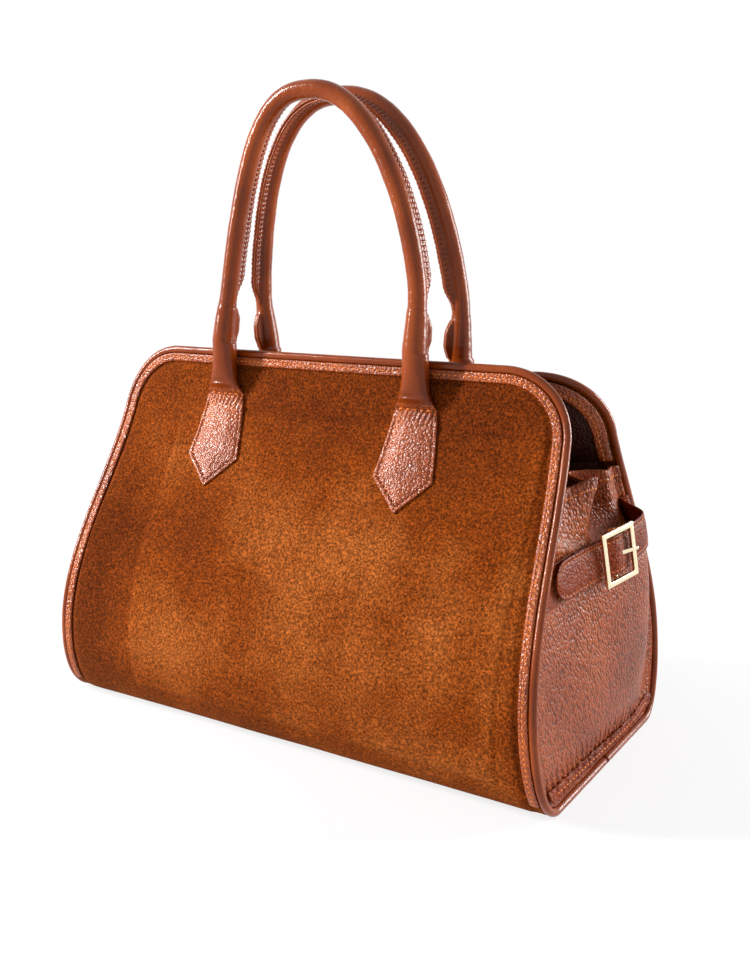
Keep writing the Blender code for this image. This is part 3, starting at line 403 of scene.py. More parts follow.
MATERIALS = {
    "suede": suede(),
    "leather": pebbled_leather("pebbled_cognac_cowhide", "#8c3c0c", "#a44911", "#b65b1e",
                               0.0015, 0.24, 0.00050, 0.42, 0.45),
    "gusset": pebbled_leather("pebbled_brown_cowhide", "#7c3410", "#903f16", "#a24f22",
                              0.0015, 0.33, 0.00055, 0.18, 0.55, 1.7),
    "smooth": pebbled_leather("rolled_cognac_cowhide", "#702c06", "#82360a", "#944416",
                              0.0010, 0.17, 0.00005, 0.26, 0.12),
    "strap": pebbled_leather("creased_brown_cowhide", "#682407", "#7c2f0b", "#8e3c13",
                             0.0015, 0.34, 0.00028, 0.08, 0.45),
    # The facings are the gusset's leather, painted dark as shade for the bag's inside
    "facing": pebbled_leather("facing_cowhide_painted_shade", "#2c120a", "#38180c", "#442010",
                              0.0015, 0.36, 0.00040, 0.15, 0.30),
    # Polished gold plate on cast zinc: a mirror with the faintest brushing
    "metal": grained("polished_gold_plate", 700, 2, "Roughness", ((0.3, 0.10), (0.7, 0.20)),
                     Base_Color=linear("#fbecc8"), Metallic=1.0, Roughness=0.14),
    "thread": waxed_thread("waxed_orange_thread", "#c05a14", "#f58f3a"),
    # Dark brown thread, darkened partly as painted shade for the stitch holes
    "dark_thread_hole_shade": waxed_thread("waxed_brown_thread", "#5c2208", "#94430f"),
    "lining": woven_cloth("cotton_lining_cloth", "#331a0c", "#4b2814", 0.0005),
    "cord": woven_cloth("twisted_cotton_cord", "#a09070", "#c8b890", 0.0015),
    # Bonded leather board: pressed fibres, plain and matt
    "board": grained("bonded_leather_board", 400, 5, "Base Color",
                     ((0.35, "#3a1c0e"), (0.65, "#54301c")), Roughness=0.85),
}


# Pieces
def dress(piece, material):
    piece.data.materials.clear()
    piece.data.materials.append(MATERIALS[material])
    return piece


def finish_piece(piece, material, body, node):
    """Dress a piece that rides a body in the place of a node."""
    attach(dress(piece, material), body)
    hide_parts(node)


def skin(name, columns, rows, place, closed=False):
    """A grid whose points are laid where place(u, w) says, with its doubles merged if it closes."""
    bpy.ops.mesh.primitive_grid_add(x_subdivisions=columns, y_subdivisions=rows, size=1)
    piece = bpy.context.object
    piece.name = piece.data.name = name
    for point in piece.data.vertices:
        point.co = place(point.co.x + 0.5, point.co.y + 0.5)
    if closed:
        bpy.ops.object.mode_set(mode="EDIT")
        bpy.ops.mesh.select_all(action="SELECT")
        bpy.ops.mesh.remove_doubles(threshold=0.000002)
        bpy.ops.mesh.dissolve_degenerate(threshold=0.000001)
        bpy.ops.mesh.normals_make_consistent(inside=False)
        bpy.ops.object.mode_set(mode="OBJECT")
    bpy.ops.object.shade_smooth()
    piece.select_set(False)
    return piece


def thicken(piece, thickness):
    """Give a sheet its thickness, inwards from its face."""
    modifier = piece.modifiers.new("wall", "SOLIDIFY")
    modifier.thickness = thickness
    modifier.offset = -1
    bpy.context.view_layer.objects.active = piece
    bpy.ops.object.modifier_apply(modifier=modifier.name)
    return piece


def end_cap(w, share):
    """How a closed piece rounds off: 0 at both ends and 1 from a share of its length."""
    reach = min(w, 1 - w)/share
    return math.sqrt(max(0, 1 - (1 - min(reach, 1))**2))


def round_section(u, power):
    """A point of a unit section between round (power 2) and square: across and out, from -1 to 1."""
    angle = 2*math.pi*u
    across = math.sin(angle)
    out = max(0, 1 - abs(across)**power)**(1/power)
    return across, math.copysign(out, math.cos(angle))


def make_stitches(name, places, length=STITCH_LENGTH, radius=THREAD_RADIUS, thread="thread",
                  body="bag"):
    """Copies of one stitch, a short thread whose ends go down into the leather."""
    bpy.ops.mesh.primitive_uv_sphere_add(segments=6, ring_count=6, radius=1)
    model = bpy.context.object
    shape = np.array([v.co for v in model.data.vertices])
    shape = np.stack([shape[:, 2]*length/2, shape[:, 0]*radius, shape[:, 1]*radius], 1)
    shape[:, 2] -= radius*1.2*(2*shape[:, 0]/length)**2
    faces = [list(p.vertices) for p in model.data.polygons]
    bpy.data.objects.remove(model, do_unlink=True)
    points, corners = [], []
    for place, along, out in places:
        side = out.cross(along).normalized()
        turn = np.array(Matrix((along.normalized(), side, out.normalized())))
        corners += [[i + len(points)*len(shape) for i in face] for face in faces]
        points.append(shape @ turn + np.array(place))
    mesh = bpy.data.meshes.new(name)
    mesh.from_pydata(np.concatenate(points).tolist(), [], corners)
    mesh.shade_smooth()
    piece = bpy.data.objects.new(name, mesh)
    bpy.context.scene.collection.objects.link(piece)
    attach(dress(piece, thread), body)


def stitch_places(track, pitch=STITCH_PITCH, slant=0.0):
    """Places along a track: a list of (point, outward direction) close together."""
    points = [p for p, _ in track]
    lengths = run_lengths(points)
    count = max(int(lengths[-1]/pitch), 1)
    places = []
    for i in range(count):
        k, share = spot(lengths, (i + 0.5)*lengths[-1]/count)
        point = points[k - 1].lerp(points[k], share)
        along = (points[k] - points[k - 1]).normalized()
        out = track[k][1]
        along = (along + slant*out.cross(along)).normalized()
        places.append((point, along, out))
    return places


# The panels: v is 0 at the base, 1 at the belly and 2 at the mouth
def height_at(v):
    if v < 1:
        return BELLY_HEIGHT*(1 - math.cos(v*math.pi/2))
    return BELLY_HEIGHT + (PANEL_HEIGHT - BELLY_HEIGHT)*(v - 1)


def v_at(height):
    if height < BELLY_HEIGHT:
        return math.acos(1 - height/BELLY_HEIGHT)*2/math.pi
    return 1 + (height - BELLY_HEIGHT)/(PANEL_HEIGHT - BELLY_HEIGHT)


def slump(x, v):
    """How far the back panel leans in at a place, as a share of the whole lean."""
    beyond = (x/SHOULDER_HALF_WIDTH - FLARE_START_SHARE)/(1 - FLARE_START_SHARE)
    across = 1 - (1 - FLARE_LEAN_SHARE)*min(max(beyond, 0), 1)**2
    return across*max(v - 1, 0)**LEAN_RISE_POWER


def panel_section(side, x, v):
    height = height_at(v)
    if v < 1:
        depth = blend(BASE_HALF_DEPTH, BELLY_HALF_DEPTH, math.sin(v*math.pi/2))
    else:
        depth = blend(MOUTH_HALF_DEPTH, BELLY_HALF_DEPTH, (1 + math.cos((min(v, 2) - 1)*math.pi))/2)
    if side == BACK:
        depth -= BACK_LEAN*slump(x, min(v, 2))
        height -= BACK_DROP*slump(x, v)
    return depth, height


def panel_frame(side, x, v):
    """A point of a panel's face, and the direction out of it."""
    step = 0.005
    depth, height = panel_section(side, x, v)
    above, below = panel_section(side, x, v + step), panel_section(side, x, v - step)
    out = Vector((0, side*(above[1] - below[1]), -(above[0] - below[0]))).normalized()
    return Vector((x, side*depth, height)), out


def panel_point(side, x, v, out=0.0):
    point, normal = panel_frame(side, x, v)
    return point + normal*out


def half_width(v, inset):
    height = height_at(v)
    if height <= CORNER_HEIGHT:
        return blend(BASE_HALF_WIDTH, SHOULDER_HALF_WIDTH, height/CORNER_HEIGHT) - inset
    reach = (CORNER_RADIUS - inset)**2 - (height - CORNER_HEIGHT)**2
    return SHOULDER_HALF_WIDTH - CORNER_RADIUS + math.sqrt(max(reach, 0))


def row_at(w, v_low, inset):
    """A row of a panel's sheet: evenly spaced up the wall, then closer over the rounded corners."""
    wall = 0.78
    if w < wall:
        return blend(v_low, v_at(CORNER_HEIGHT), w/wall)
    turn = (w - wall)/(1 - wall)*math.pi/2
    return v_at(CORNER_HEIGHT + (CORNER_RADIUS - inset)*math.sin(turn))


def edge_distance(x, v):
    """How far a place on a panel is from its edge."""
    height = height_at(v)
    if height > CORNER_HEIGHT and abs(x) > SHOULDER_HALF_WIDTH - CORNER_RADIUS:
        reach = math.hypot(abs(x) - SHOULDER_HALF_WIDTH + CORNER_RADIUS, height - CORNER_HEIGHT)
        return CORNER_RADIUS - reach
    if height > CORNER_HEIGHT:
        return PANEL_HEIGHT - height
    return half_width(v, 0) - abs(x)


def panel_sheet(name, side, columns, rows, inset, thickness, v_low, level):
    """A sheet on a panel, whose face stands out by level(x, v)."""
    def place(u, w):
        v = row_at(w, v_low, inset)
        reach = half_width(v, inset)
        x = -side*reach*math.sin((u - 0.5)*math.pi)
        return panel_point(side, x, v, level(x, v))
    return thicken(skin(name, columns, rows, place), thickness)


# Where a board inside has pressed its outline into the front panel
PRESS_HALF_WIDTHS = (0.112, 0.150)
PRESS_LOW = 0.018
PRESS_HIGH = 0.197
PRESS_DEPTH = 0.00045
# The suede rolls up beside its binding, and puffs out by the front's left end and the back's right
SUEDE_ROLL = 0.0011
PUFF = 0.0042
PUFF_HEIGHT = 0.115
PUFF_SPREAD = 0.070


def press_distance(x, height):
    """How far a place is inside the pressed outline, negative outside it."""
    side = PRESS_HALF_WIDTHS[1] - x if x > 0 else PRESS_HALF_WIDTHS[0] + x
    return min(side, height - PRESS_LOW, PRESS_HIGH - height)


def suede_level(side):
    """How far a suede panel's face stands out at a place."""
    def level(x, v):
        height = height_at(v)
        inside = edge_distance(x, v) - EDGE_INSET - BINDING_WIDTH
        roll = SUEDE_ROLL*ease(inside/0.004)*(0.45 + 0.55*ease(1 - (inside - 0.004)/0.030))
        wave = 0.0006*ripple(Vector((x, height, side)), 0.055)
        total = roll + wave*ease(inside/0.01)
        if side == FRONT:
            edge = press_distance(x, height)
            total += PRESS_DEPTH*(ease(edge/0.004) - 0.8*bump(edge, 0.0022))
        hand = LEFT if side == FRONT else RIGHT
        if x*hand > 0:
            near = ease(inside/0.006)*ease(1 - (inside - 0.006)/0.045)
            total += PUFF*near*bump(height - PUFF_HEIGHT, PUFF_SPREAD)
        return total*ease(v/0.45)
    return level


# Patches painted lighter or darker on the suede, partly brushed nap and partly painted light and
# shade: a lighter middle, a darker top band, and a painted shade band by the right edge where the
# suede bulges. x, height, width, height of the patch, strength
FRONT_NAP_AND_SHADE = (
    (0.020, 0.065, 0.110, 0.030, 0.10), (-0.070, 0.045, 0.060, 0.028, 0.08),
    (0.050, 0.115, 0.065, 0.032, 0.26), (-0.020, 0.150, 0.050, 0.025, 0.12),
    (0.150, 0.120, 0.014, 0.060, 0.22), (0.120, 0.020, 0.060, 0.016, 0.15),
    (-0.145, 0.060, 0.022, 0.070, -0.14), (-0.060, 0.110, 0.070, 0.030, -0.10),
    (0.000, 0.210, 0.160, 0.024, -0.14), (0.165, 0.050, 0.006, 0.060, -0.30),
    (0.060, 0.185, 0.080, 0.016, -0.06),
)


def brush_nap_and_shade(piece, side):
    """Keep the nap's lie, with its painted light and shade, as a value on each point."""
    values = []
    for point in piece.data.vertices:
        x, height = point.co.x, point.co.z
        value = 0.0
        for px, pz, width, tall, strength in FRONT_NAP_AND_SHADE:
            value += strength*math.exp(-((x + side*px)/width)**2 - ((height - pz)/tall)**2)
        if side == FRONT:
            # Painted light inside the board's pressed outline and painted shade just outside it, on
            # top of the pressed groove
            value += 0.10*ease(press_distance(x, height)/0.003) - 0.06
        values.append(value)
    # The value carries the nap and its painted light and shade
    lie = piece.data.attributes.new("nap", "FLOAT", "POINT")
    lie.data.foreach_set("value", values)


# The edge of a panel, followed from low on its right side over the top to low on its left
def outline_stations(v_low):
    side = [("side", blend(v_low, v_at(CORNER_HEIGHT), i/90)) for i in range(91)]
    side += [("corner", i/24) for i in range(1, 25)]
    side += [("top", 1 - i/40) for i in range(1, 41)]
    right = [(kind, share, RIGHT) for kind, share in side]
    return right + [(kind, share, LEFT) for kind, share in reversed(side[:-1])]


def outline_point(station, inset):
    kind, share, hand = station
    if kind == "side":
        return hand*half_width(share, inset), share
    radius = CORNER_RADIUS - inset
    centre = SHOULDER_HALF_WIDTH - CORNER_RADIUS
    if kind == "corner":
        turn = share*math.pi/2
        return hand*(centre + radius*math.cos(turn)), v_at(CORNER_HEIGHT + radius*math.sin(turn))
    return hand*centre*share, v_at(CORNER_HEIGHT + radius)


class EdgeTrack:
    """A panel's edge, measured so that a share of its length gives a place on it."""

    def __init__(self, side, v_low):
        self.side = side
        self.stations = outline_stations(v_low)
        self.lengths = run_lengths([panel_point(side, *outline_point(s, EDGE_INSET))
                                    for s in self.stations])

    def at(self, share, inset):
        """The x and v of a place."""
        k, part = spot(self.lengths, share*self.lengths[-1])
        a, b = (outline_point(self.stations[i], inset) for i in (k - 1, k))
        return blend(a[0], b[0], part), blend(a[1], b[1], part)

    def point(self, share, inset, out):
        return panel_point(self.side, *self.at(share, inset), out)

    def run(self, inset, out, steps=500):
        """Points and outward directions along the edge, for stitches."""
        places = []
        for i in range(steps + 1):
            x, v = self.at(i/steps, inset)
            point, normal = panel_frame(self.side, x, v)
            places.append((point + normal*out, normal))
        return places


def piping_out(v):
    return -blend(PIPING_RADIUS, PIPING_SET_BACK, ease(v/PIPING_LIFT_SHARE))


def edge_strip(name, track, inset, width, base, rows):
    """A flat strip sewn along an edge, sunk under its stitches and puckered between them."""
    count = int(track.lengths[-1]/STITCH_PITCH)

    def place(u, w):
        across, out = round_section(u, 5)
        size = end_cap(w, 0.002)
        middle = base + BINDING_THICKNESS/2
        cushion = 0.00025*(1 - across*across) if out > 0 else 0
        sunk = 0.00030*bump(across, 0.22) if out > 0 else 0
        point = Vector((w*900, inset*1e4, 0))
        wave = 0.00012*ripple(point, 6.0, base*1e4)
        if out > 0:
            pinch = 0.5 + 0.5*math.cos(2*math.pi*count*w)
            beside = bump(abs(across) - 0.5, 0.45)
            wave += 0.00032*pinch*beside*(0.8 + 0.7*ripple(point, 3.0, across))
        reach = inset + width/2*(1 + across*size)
        relief = out*BINDING_THICKNESS/2 + cushion - sunk + wave
        return track.point(w, reach, middle + relief*size)
    return skin(name, 20, rows, place, closed=True)


def make_piping(name, side):
    """Piping round a panel's edge and under the gussets, where it meets the other panel's."""
    track = EdgeTrack(side, 0)
    places = [track.at(i/420, PIPING_RADIUS) for i in range(421)]
    edge = [panel_point(side, x, v, piping_out(v)) for x, v in places]
    foot = BASE_HALF_WIDTH - PIPING_RADIUS
    run = [blend(GAP/2, BASE_HALF_DEPTH, i/50) for i in range(50)]
    path = [Vector((foot, side*y, PIPING_RADIUS)) for y in run] + edge
    path += [Vector((-foot, side*y, PIPING_RADIUS)) for y in reversed(run)]
    lengths = run_lengths(path)
    count = int(lengths[-1]/PIPING_STEP)

    def place(u, w):
        k, share = spot(lengths, w*lengths[-1])
        centre = path[k - 1].lerp(path[k], share)
        before, after = path[max(k - 2, 0)], path[min(k + 1, len(path) - 1)]
        along = (after - before).normalized()
        out = Vector((0, side, 0)) - along*along.y*side
        out = (out if out.length > 0.1 else along*along.z - UP).normalized()
        across = along.cross(out)
        angle = 2*math.pi*u
        direction = math.cos(angle)*out + math.sin(angle)*across
        swell = 1 + 0.035*ripple(centre, 0.009, side) + 0.02*ripple(centre + direction*0.002, 0.003)
        radius = PIPING_RADIUS*min(swell, 1.06)*end_cap(w, 0.0005)
        place = centre + direction*radius
        place.z = max(place.z, 0.0)
        return place
    return skin(name, 20, count, place, closed=True)


def make_panels():
    for side, word in SIDES:
        panel = panel_sheet(word + "_suede_cover", side, 210, 170, EDGE_INSET, SUEDE_THICKNESS, 0,
                            suede_level(side))
        brush_nap_and_shade(panel, side)
        finish_piece(panel, "suede", "bag", word + "_suede_panel")
        track = EdgeTrack(side, BINDING_START)
        strip = edge_strip(word + "_binding_strip", track, EDGE_INSET - 0.0004, BINDING_WIDTH,
                           0.0001, 1300)
        finish_piece(strip, "leather", "bag", word + "_edge_binding")
        run = track.run(EDGE_INSET + BINDING_WIDTH/2 - 0.0004, BINDING_THICKNESS + 0.00016)
        make_stitches(word + "_binding_stitches", stitch_places(run, slant=0.18))
        bead = make_piping(word + "_piping_bead", side)
        finish_piece(bead, "smooth", "bag", word + "_piping")

        facing_low = v_at(FACING_LOWER_HEIGHT)
        facing = panel_sheet(word + "_facing_sheet", side, 90, 40, EDGE_INSET - 0.0005,
                             FACING_THICKNESS, facing_low, lambda x, v: LINING_OUT)
        finish_piece(facing, "facing", "bag", word + "_inner_facing")
        inner_track = EdgeTrack(side, facing_low)
        inner_base = LINING_OUT - FACING_THICKNESS - 0.0001 - BINDING_THICKNESS
        inner = edge_strip(word + "_inner_strip", inner_track, EDGE_INSET - 0.0008,
                           INNER_BINDING_WIDTH, inner_base, 420)
        finish_piece(inner, "leather", "bag", word + "_inner_binding")
        track = inner_track.run(EDGE_INSET + INNER_BINDING_WIDTH/2, inner_base - 0.0001)
        run = [(point, -normal) for point, normal in track]
        make_stitches(word + "_inner_stitches", stitch_places(run))

    def base_place(u, w):
        reach = BASE_HALF_WIDTH - EDGE_INSET
        half = BASE_HALF_DEPTH - GAP
        return Vector(((2*u - 1)*reach, (1 - 2*w)*half, 0.0))
    base = thicken(skin("base_suede_cover", 120, 50, base_place), SUEDE_THICKNESS)
    brush_nap_and_shade(base, BACK)
    finish_piece(base, "suede", "bag", "base_suede_panel")


# The gussets: q is 0 at the front seam and 1 at the back seam
def crest_share(q):
    return ease(1 - abs(q - CREST_PLACE_SHARE)/CREST_SPREAD_SHARE)


def fold_share(height):
    return ease((height - PLEAT_START_HEIGHT)/(PLEAT_FULL_HEIGHT - PLEAT_START_HEIGHT))


def crest_rise(height):
    return ease((height - CREST_START_HEIGHT)/(GUSSET_TOP_HEIGHT - CREST_START_HEIGHT))


def gusset_belly(q, v):
    """How far a gusset swells out from the straight line between its seams, most near its back."""
    swell = math.sin(math.pi*min(height_at(v)/SWELL_HEIGHT, 1)/2)
    belly = GUSSET_BULGE*math.sin(math.pi*min(max(q, 0), 1)**BULGE_SKEW_POWER)
    belly += BACK_BELLY*bump(q - 0.76, 0.17)
    # Behind its belly a gusset dips before it is sewn in the back seam
    valley = BACK_VALLEY*ease((q - 0.75)/0.15)*ease((1 - q)/0.07)
    return (belly - valley)*swell


def gusset_fold(hand, q, v):
    depth = PLEAT_DEPTH if hand == RIGHT else LEFT_PLEAT_DEPTH
    pleat = depth*ease(1 - abs(q - PLEAT_PLACE_SHARE)/PLEAT_SPREAD_SHARE)
    height = height_at(v)
    return GUSSET_CREST*crest_share(q)*crest_rise(height) - pleat*fold_share(height)


def gusset_seam(v):
    return piping_out(v) - PIPING_RADIUS - GAP


def belly_point(hand, q, v, out=0.0, seam=None):
    """A point where a gusset would be without its folds."""
    seam = gusset_seam(v) if seam is None else seam
    x = hand*half_width(v, GUSSET_INSET)
    place = panel_point(FRONT, x, v, seam).lerp(panel_point(BACK, x, v, seam), q)
    place.x += hand*(gusset_belly(q, v) + out)
    return place


def gusset_point(hand, q, v, out=0.0):
    place = belly_point(hand, q, v, out + gusset_fold(hand, q, v))
    place.z += CREST_LIFT*crest_share(q)*crest_rise(height_at(v))
    return place


def make_gusset(hand, word):
    """A gusset in one sheet, hemmed at the top, gathered at the foot and pleated in."""
    top = v_at(GUSSET_TOP_HEIGHT)

    def place(u, w):
        q = u if hand == RIGHT else 1 - u
        v = top*w
        height = height_at(v)
        down = GUSSET_TOP_HEIGHT - height
        hem = HEM_ROLL*ease((HEM_DEPTH - down)/0.0008) if down < HEM_DEPTH else 0
        groove = 0.00035*bump(down - HEM_DEPTH + HEM_STITCH_INSET, 0.0009)
        wave = 0.0007*ripple(Vector((hand*0.3, q*0.18, height)), 0.035)
        gather = 0.0006*math.sin(q*170 + 3*ripple(Vector((q, hand, 0)), 0.1))
        gather *= ease(1 - (height - 0.014)/0.016)*ease((height - 0.008)/0.004)
        tuck = 0.0011*bump(height - 0.146 + 0.03*q, 0.006)*ease((0.6 - q)/0.2)
        return gusset_point(hand, q, v, hem - groove + wave + gather + tuck)
    sheet = thicken(skin(word + "_gusset_sheet", 200, 190, place), GUSSET_THICKNESS)
    finish_piece(sheet, "gusset", "bag", word + "_gusset")

    level = v_at(GUSSET_TOP_HEIGHT - HEM_DEPTH + HEM_STITCH_INSET)
    run = [(gusset_point(hand, blend(0.03, 0.97, i/120), level, HEM_ROLL), Vector((hand, 0, 0)))
           for i in range(121)]
    make_stitches(word + "_hem_stitches", stitch_places(run))


def make_base_strip(hand, word):
    """The gathered strip along the gusset's foot."""

    def pucker(q, w):
        lump = ripple(Vector((q*FOOT_RUN, w*0.004, hand)), 0.0035)
        lump += 0.6*ripple(Vector((q*FOOT_RUN, w*0.01, hand)), 0.0016)
        return FOOT_PUCKER*lump*(0.35 + abs(2*w - 1))

    def place(u, w):
        across, out = round_section(u, 5)
        q = blend(FOOT_STRIP_START, 1 - FOOT_STRIP_START, w)
        size = end_cap(w, 0.01)
        share = 0.5 + 0.5*across*size
        height = blend(BASE_BINDING_LOW, BASE_BINDING_HIGH, share)
        height += 0.0007*ripple(Vector((q*FOOT_RUN, hand, 0)), 0.006)*share
        thickness = BINDING_THICKNESS + 0.0006*(1 - across*across)
        sunk = 0.0007*bump(across, 0.3) if out > 0 else 0
        level = GAP + thickness/2*(1 + out*size) + (pucker(q, share) - sunk)*(out > 0)*size
        return gusset_point(hand, q, v_at(height), level)
    strip = skin(word + "_foot_strip", 26, 420, place, closed=True)
    finish_piece(strip, "strap", "bag", word + "_base_binding")
    middle = v_at((BASE_BINDING_LOW + BASE_BINDING_HIGH)/2)
    run = [(gusset_point(hand, blend(0.06, 0.94, i/150), middle, 0.0017), Vector((hand, 0, 0)))
           for i in range(151)]
    make_stitches(word + "_foot_stitches", stitch_places(run, 0.0040), 0.0032)


def make_lining():
    """One bag of cloth inside the panels and the gussets."""
    top = v_at(GUSSET_TOP_HEIGHT - LINING_DROP)
    corners = (0.34, 0.5, 0.84)

    def ring(u, v):
        out = LINING_OUT - 0.0002
        reach = half_width(v, GUSSET_INSET) - LINING_SHIFT
        if u < corners[0]:
            return panel_point(FRONT, reach*(2*u/corners[0] - 1), v, out)
        if u < corners[1]:
            return side_point(RIGHT, (u - corners[0])/(corners[1] - corners[0]), v)
        if u < corners[2]:
            return panel_point(BACK, reach*(1 - 2*(u - corners[1])/(corners[2] - corners[1])), v, out)
        return side_point(LEFT, 1 - (u - corners[2])/(1 - corners[2]), v)

    def side_point(hand, q, v):
        seam = blend(LINING_OUT - 0.0002, gusset_seam(v), ease(v))
        return belly_point(hand, q, v, gusset_fold(hand, q, v) - LINING_SHIFT, seam)

    def place(u, w):
        floor = 0.12
        if w < floor:
            foot = ring(u, 0.0)
            return Vector((foot.x*w/floor, foot.y*w/floor, foot.z))
        return ring(u, top*(w - floor)/(1 - floor))
    bag = skin("lining_bag", 220, 110, place, closed=True)
    finish_piece(thicken(bag, LINING_THICKNESS), "lining", "bag", "lining")


# The handles
def hinge_point(side, hand=0):
    place = panel_point(side, 0, 2, HINGE_OUT)
    return Vector((HANDLE_OFFSET + hand*TAB_SPACING/2, place.y, place.z + HINGE_RISE))


def arch_point(side, turn):
    """The middle of a handle: turn is 0 at the right hinge, a half turn at the left one."""
    powers = ARCH_POWERS[side]
    height = HANDLE_HEIGHTS[side]
    foot, middle, top = SWAYS[side]
    across = math.copysign(abs(math.cos(turn))**powers[0], math.cos(turn))
    rise = abs(math.sin(turn))**powers[1]
    x = TAB_SPACING/2*blend(1, ARCH_SPAN_SHARES[side], ease(4*rise))*across
    x += foot + middle*math.sin(math.pi*rise) + top*rise*rise
    if side == FRONT and across > 0:
        x += RIGHT_FOOT_LEAN*(1 - ease(height*rise/RIGHT_FOOT_HEIGHT))
    return hinge_point(side) + Vector((x, -side*HANDLE_LEANS[side]*rise, height*rise))


def turn_at(side, rise):
    return math.asin((rise/HANDLE_HEIGHTS[side])**(1/ARCH_POWERS[side][1]))


def arch_table(side):
    """Turns and lengths along a handle, so that its rings can be evenly spaced."""
    start = turn_at(side, 0.004)
    turns = [blend(start, math.pi - start, i/800) for i in range(801)]
    return turns, run_lengths([arch_point(side, turn) for turn in turns])


def arch_frame(side, turns, lengths, share):
    """A handle's middle, the way its fin points there and the way across it."""
    k, part = spot(lengths, share*lengths[-1])
    turn = blend(turns[k - 1], turns[k], part)
    place = arch_point(side, turn)
    along = (arch_point(side, turn + 0.01) - arch_point(side, turn - 0.01)).normalized()
    return (place, *fin_directions(side, along, share))


def fin_directions(side, along, share):
    """The way a handle's fin points, and the way across it."""
    inward = Vector((0, -side, 0))
    inward = (inward - along*inward.dot(along)).normalized()
    outer = along.cross(inward)
    turn = math.radians(blend(*FIN_TURNS[side], share))
    fin = inward*math.cos(turn) + outer*math.sin(turn)
    return fin, along.cross(fin)


def fin_radius(angle, radius, reach, half):
    """The radius of a tube with a fin of two layers on the side where the angle is 0."""
    if reach <= 0 or abs(angle) > math.pi/2:
        return radius
    side = half/max(abs(math.sin(angle)), 1e-6)
    tip = (radius + reach)/max(math.cos(angle), 1e-6)
    fin = min(side, tip)
    groove = FIN_GROOVE*bump(angle, 0.06)*ease(reach/FIN_REACH)
    corner = FIN_ROUND*bump(abs(angle) - math.asin(half/(radius + reach)), 0.05)
    blunt = max(fin - corner - groove, 0)
    gap = blunt - radius
    if gap > FIN_FILLET:
        return blunt
    if gap < -FIN_FILLET:
        return radius
    return radius + (gap + FIN_FILLET)**2/(4*FIN_FILLET)


def make_core(side, word):
    """The cord inside a handle: three strands laid together."""
    turns, lengths = arch_table(side)

    def place(u, w):
        centre, inward, across = arch_frame(side, turns, lengths, w)
        angle = 2*math.pi*u
        strand = abs(math.cos(1.5*angle + math.pi*w*lengths[-1]/0.012))
        radius = (CORE_RADIUS - 0.0005*(1 - strand))*end_cap(w, 0.004)
        return centre + (math.cos(angle)*inward + math.sin(angle)*across)*radius
    core = skin(word + "_cord_core", 24, 300, place, closed=True)
    finish_piece(core, "cord", word + "_handle", word + "_handle_core")


def make_handle(side, word):
    """A handle's rolled cover with its seam fin, the stitches on the fin's faces, and its tabs."""
    turns, lengths = arch_table(side)
    body = word + "_handle"

    def place(u, w):
        centre, inward, across = arch_frame(side, turns, lengths, w)
        spread = 2*u - 1
        angle = math.pi*math.copysign(abs(spread)**1.7, spread)
        from_end = min(w, 1 - w)*lengths[-1]
        fin = FIN_REACH*ease((from_end - FIN_START)/FIN_RUN_OUT)*(1 + 0.07*ripple(centre, 0.02, side))
        half = FIN_HALF_THICKNESS*(1 + 0.16*math.cos(2*math.pi*from_end/FIN_STITCH_PITCH))
        radius = fin_radius(angle, COVER_RADIUS, fin, half)
        direction = math.cos(angle)*inward + math.sin(angle)*across
        fold = 0.00010*ripple(centre + direction*0.004, 0.0030)
        fold += 0.00018*ripple(centre, 0.012, 2*side)
        return centre + direction*(radius + fold)*end_cap(w, 0.002)
    cover = skin(word + "_handle_roll", 76, 430, place, closed=True)
    finish_piece(cover, "smooth", body, word + "_handle_cover")

    for sign, name in ((1, "_fin_stitches_a"), (-1, "_fin_stitches_b")):
        run = []
        start = (FIN_START + FIN_RUN_OUT/2)/lengths[-1]
        for i in range(601):
            share = blend(start, 1 - start, i/600)
            centre, inward, across = arch_frame(side, turns, lengths, share)
            out = sign*across
            line = inward*(COVER_RADIUS + FIN_STITCH_REACH) + out*(FIN_HALF_THICKNESS + 0.0001)
            run.append((centre + line, out))
        make_stitches(word + name, stitch_places(run, FIN_STITCH_PITCH), 0.0022, 0.00045,
                      "dark_thread_hole_shade", body)
    for hand, hand_word in HANDS:
        make_tab(side, hand, word, hand_word)


# A tab from its tip up to the sleeve's lip: depth below the mouth, half width, thickness,
# level, and the power of its section
TAB_SECTIONS = (
    (TAB_TIP_DEPTH, 0.0002, 0.0020, 0.0002, 8),
    (TAB_CORNER_DEPTH, TAB_HALF_WIDTH, 0.0022, 0.0002, 8),
    (TAB_NECK_DEPTH, TAB_NECK_HALF_WIDTH, 0.0026, 0.0003, 6),
    (0.0260, 0.0126, 0.0050, 0.0008, 3.4),
    (0.0225, 0.0104, 0.0080, 0.0014, 2.6),
    (0.0180, 0.0088, 0.0108, 0.0017, 2.2),
    (0.0120, 0.0078, 0.0126, 0.0019, 2),
    (0.0040, 0.0073, 0.0136, 0.0024, 2),
    (-0.0050, 0.0071, 0.0142, 0.0025, 2),
)
TAB_STITCH_INSET = 0.0024
TAB_SIDE_SLOPE = (TAB_HALF_WIDTH - TAB_NECK_HALF_WIDTH)/(TAB_CORNER_DEPTH - TAB_NECK_DEPTH)
TAB_TIP_SLOPE = (TAB_TIP_DEPTH - TAB_CORNER_DEPTH)/TAB_HALF_WIDTH
# How much of a tab's rows lie below its sleeve, and of the sleeve's below its closed end
TAB_ROWS_SHARE = 0.66
SLEEVE_CAP_SHARE = 0.94


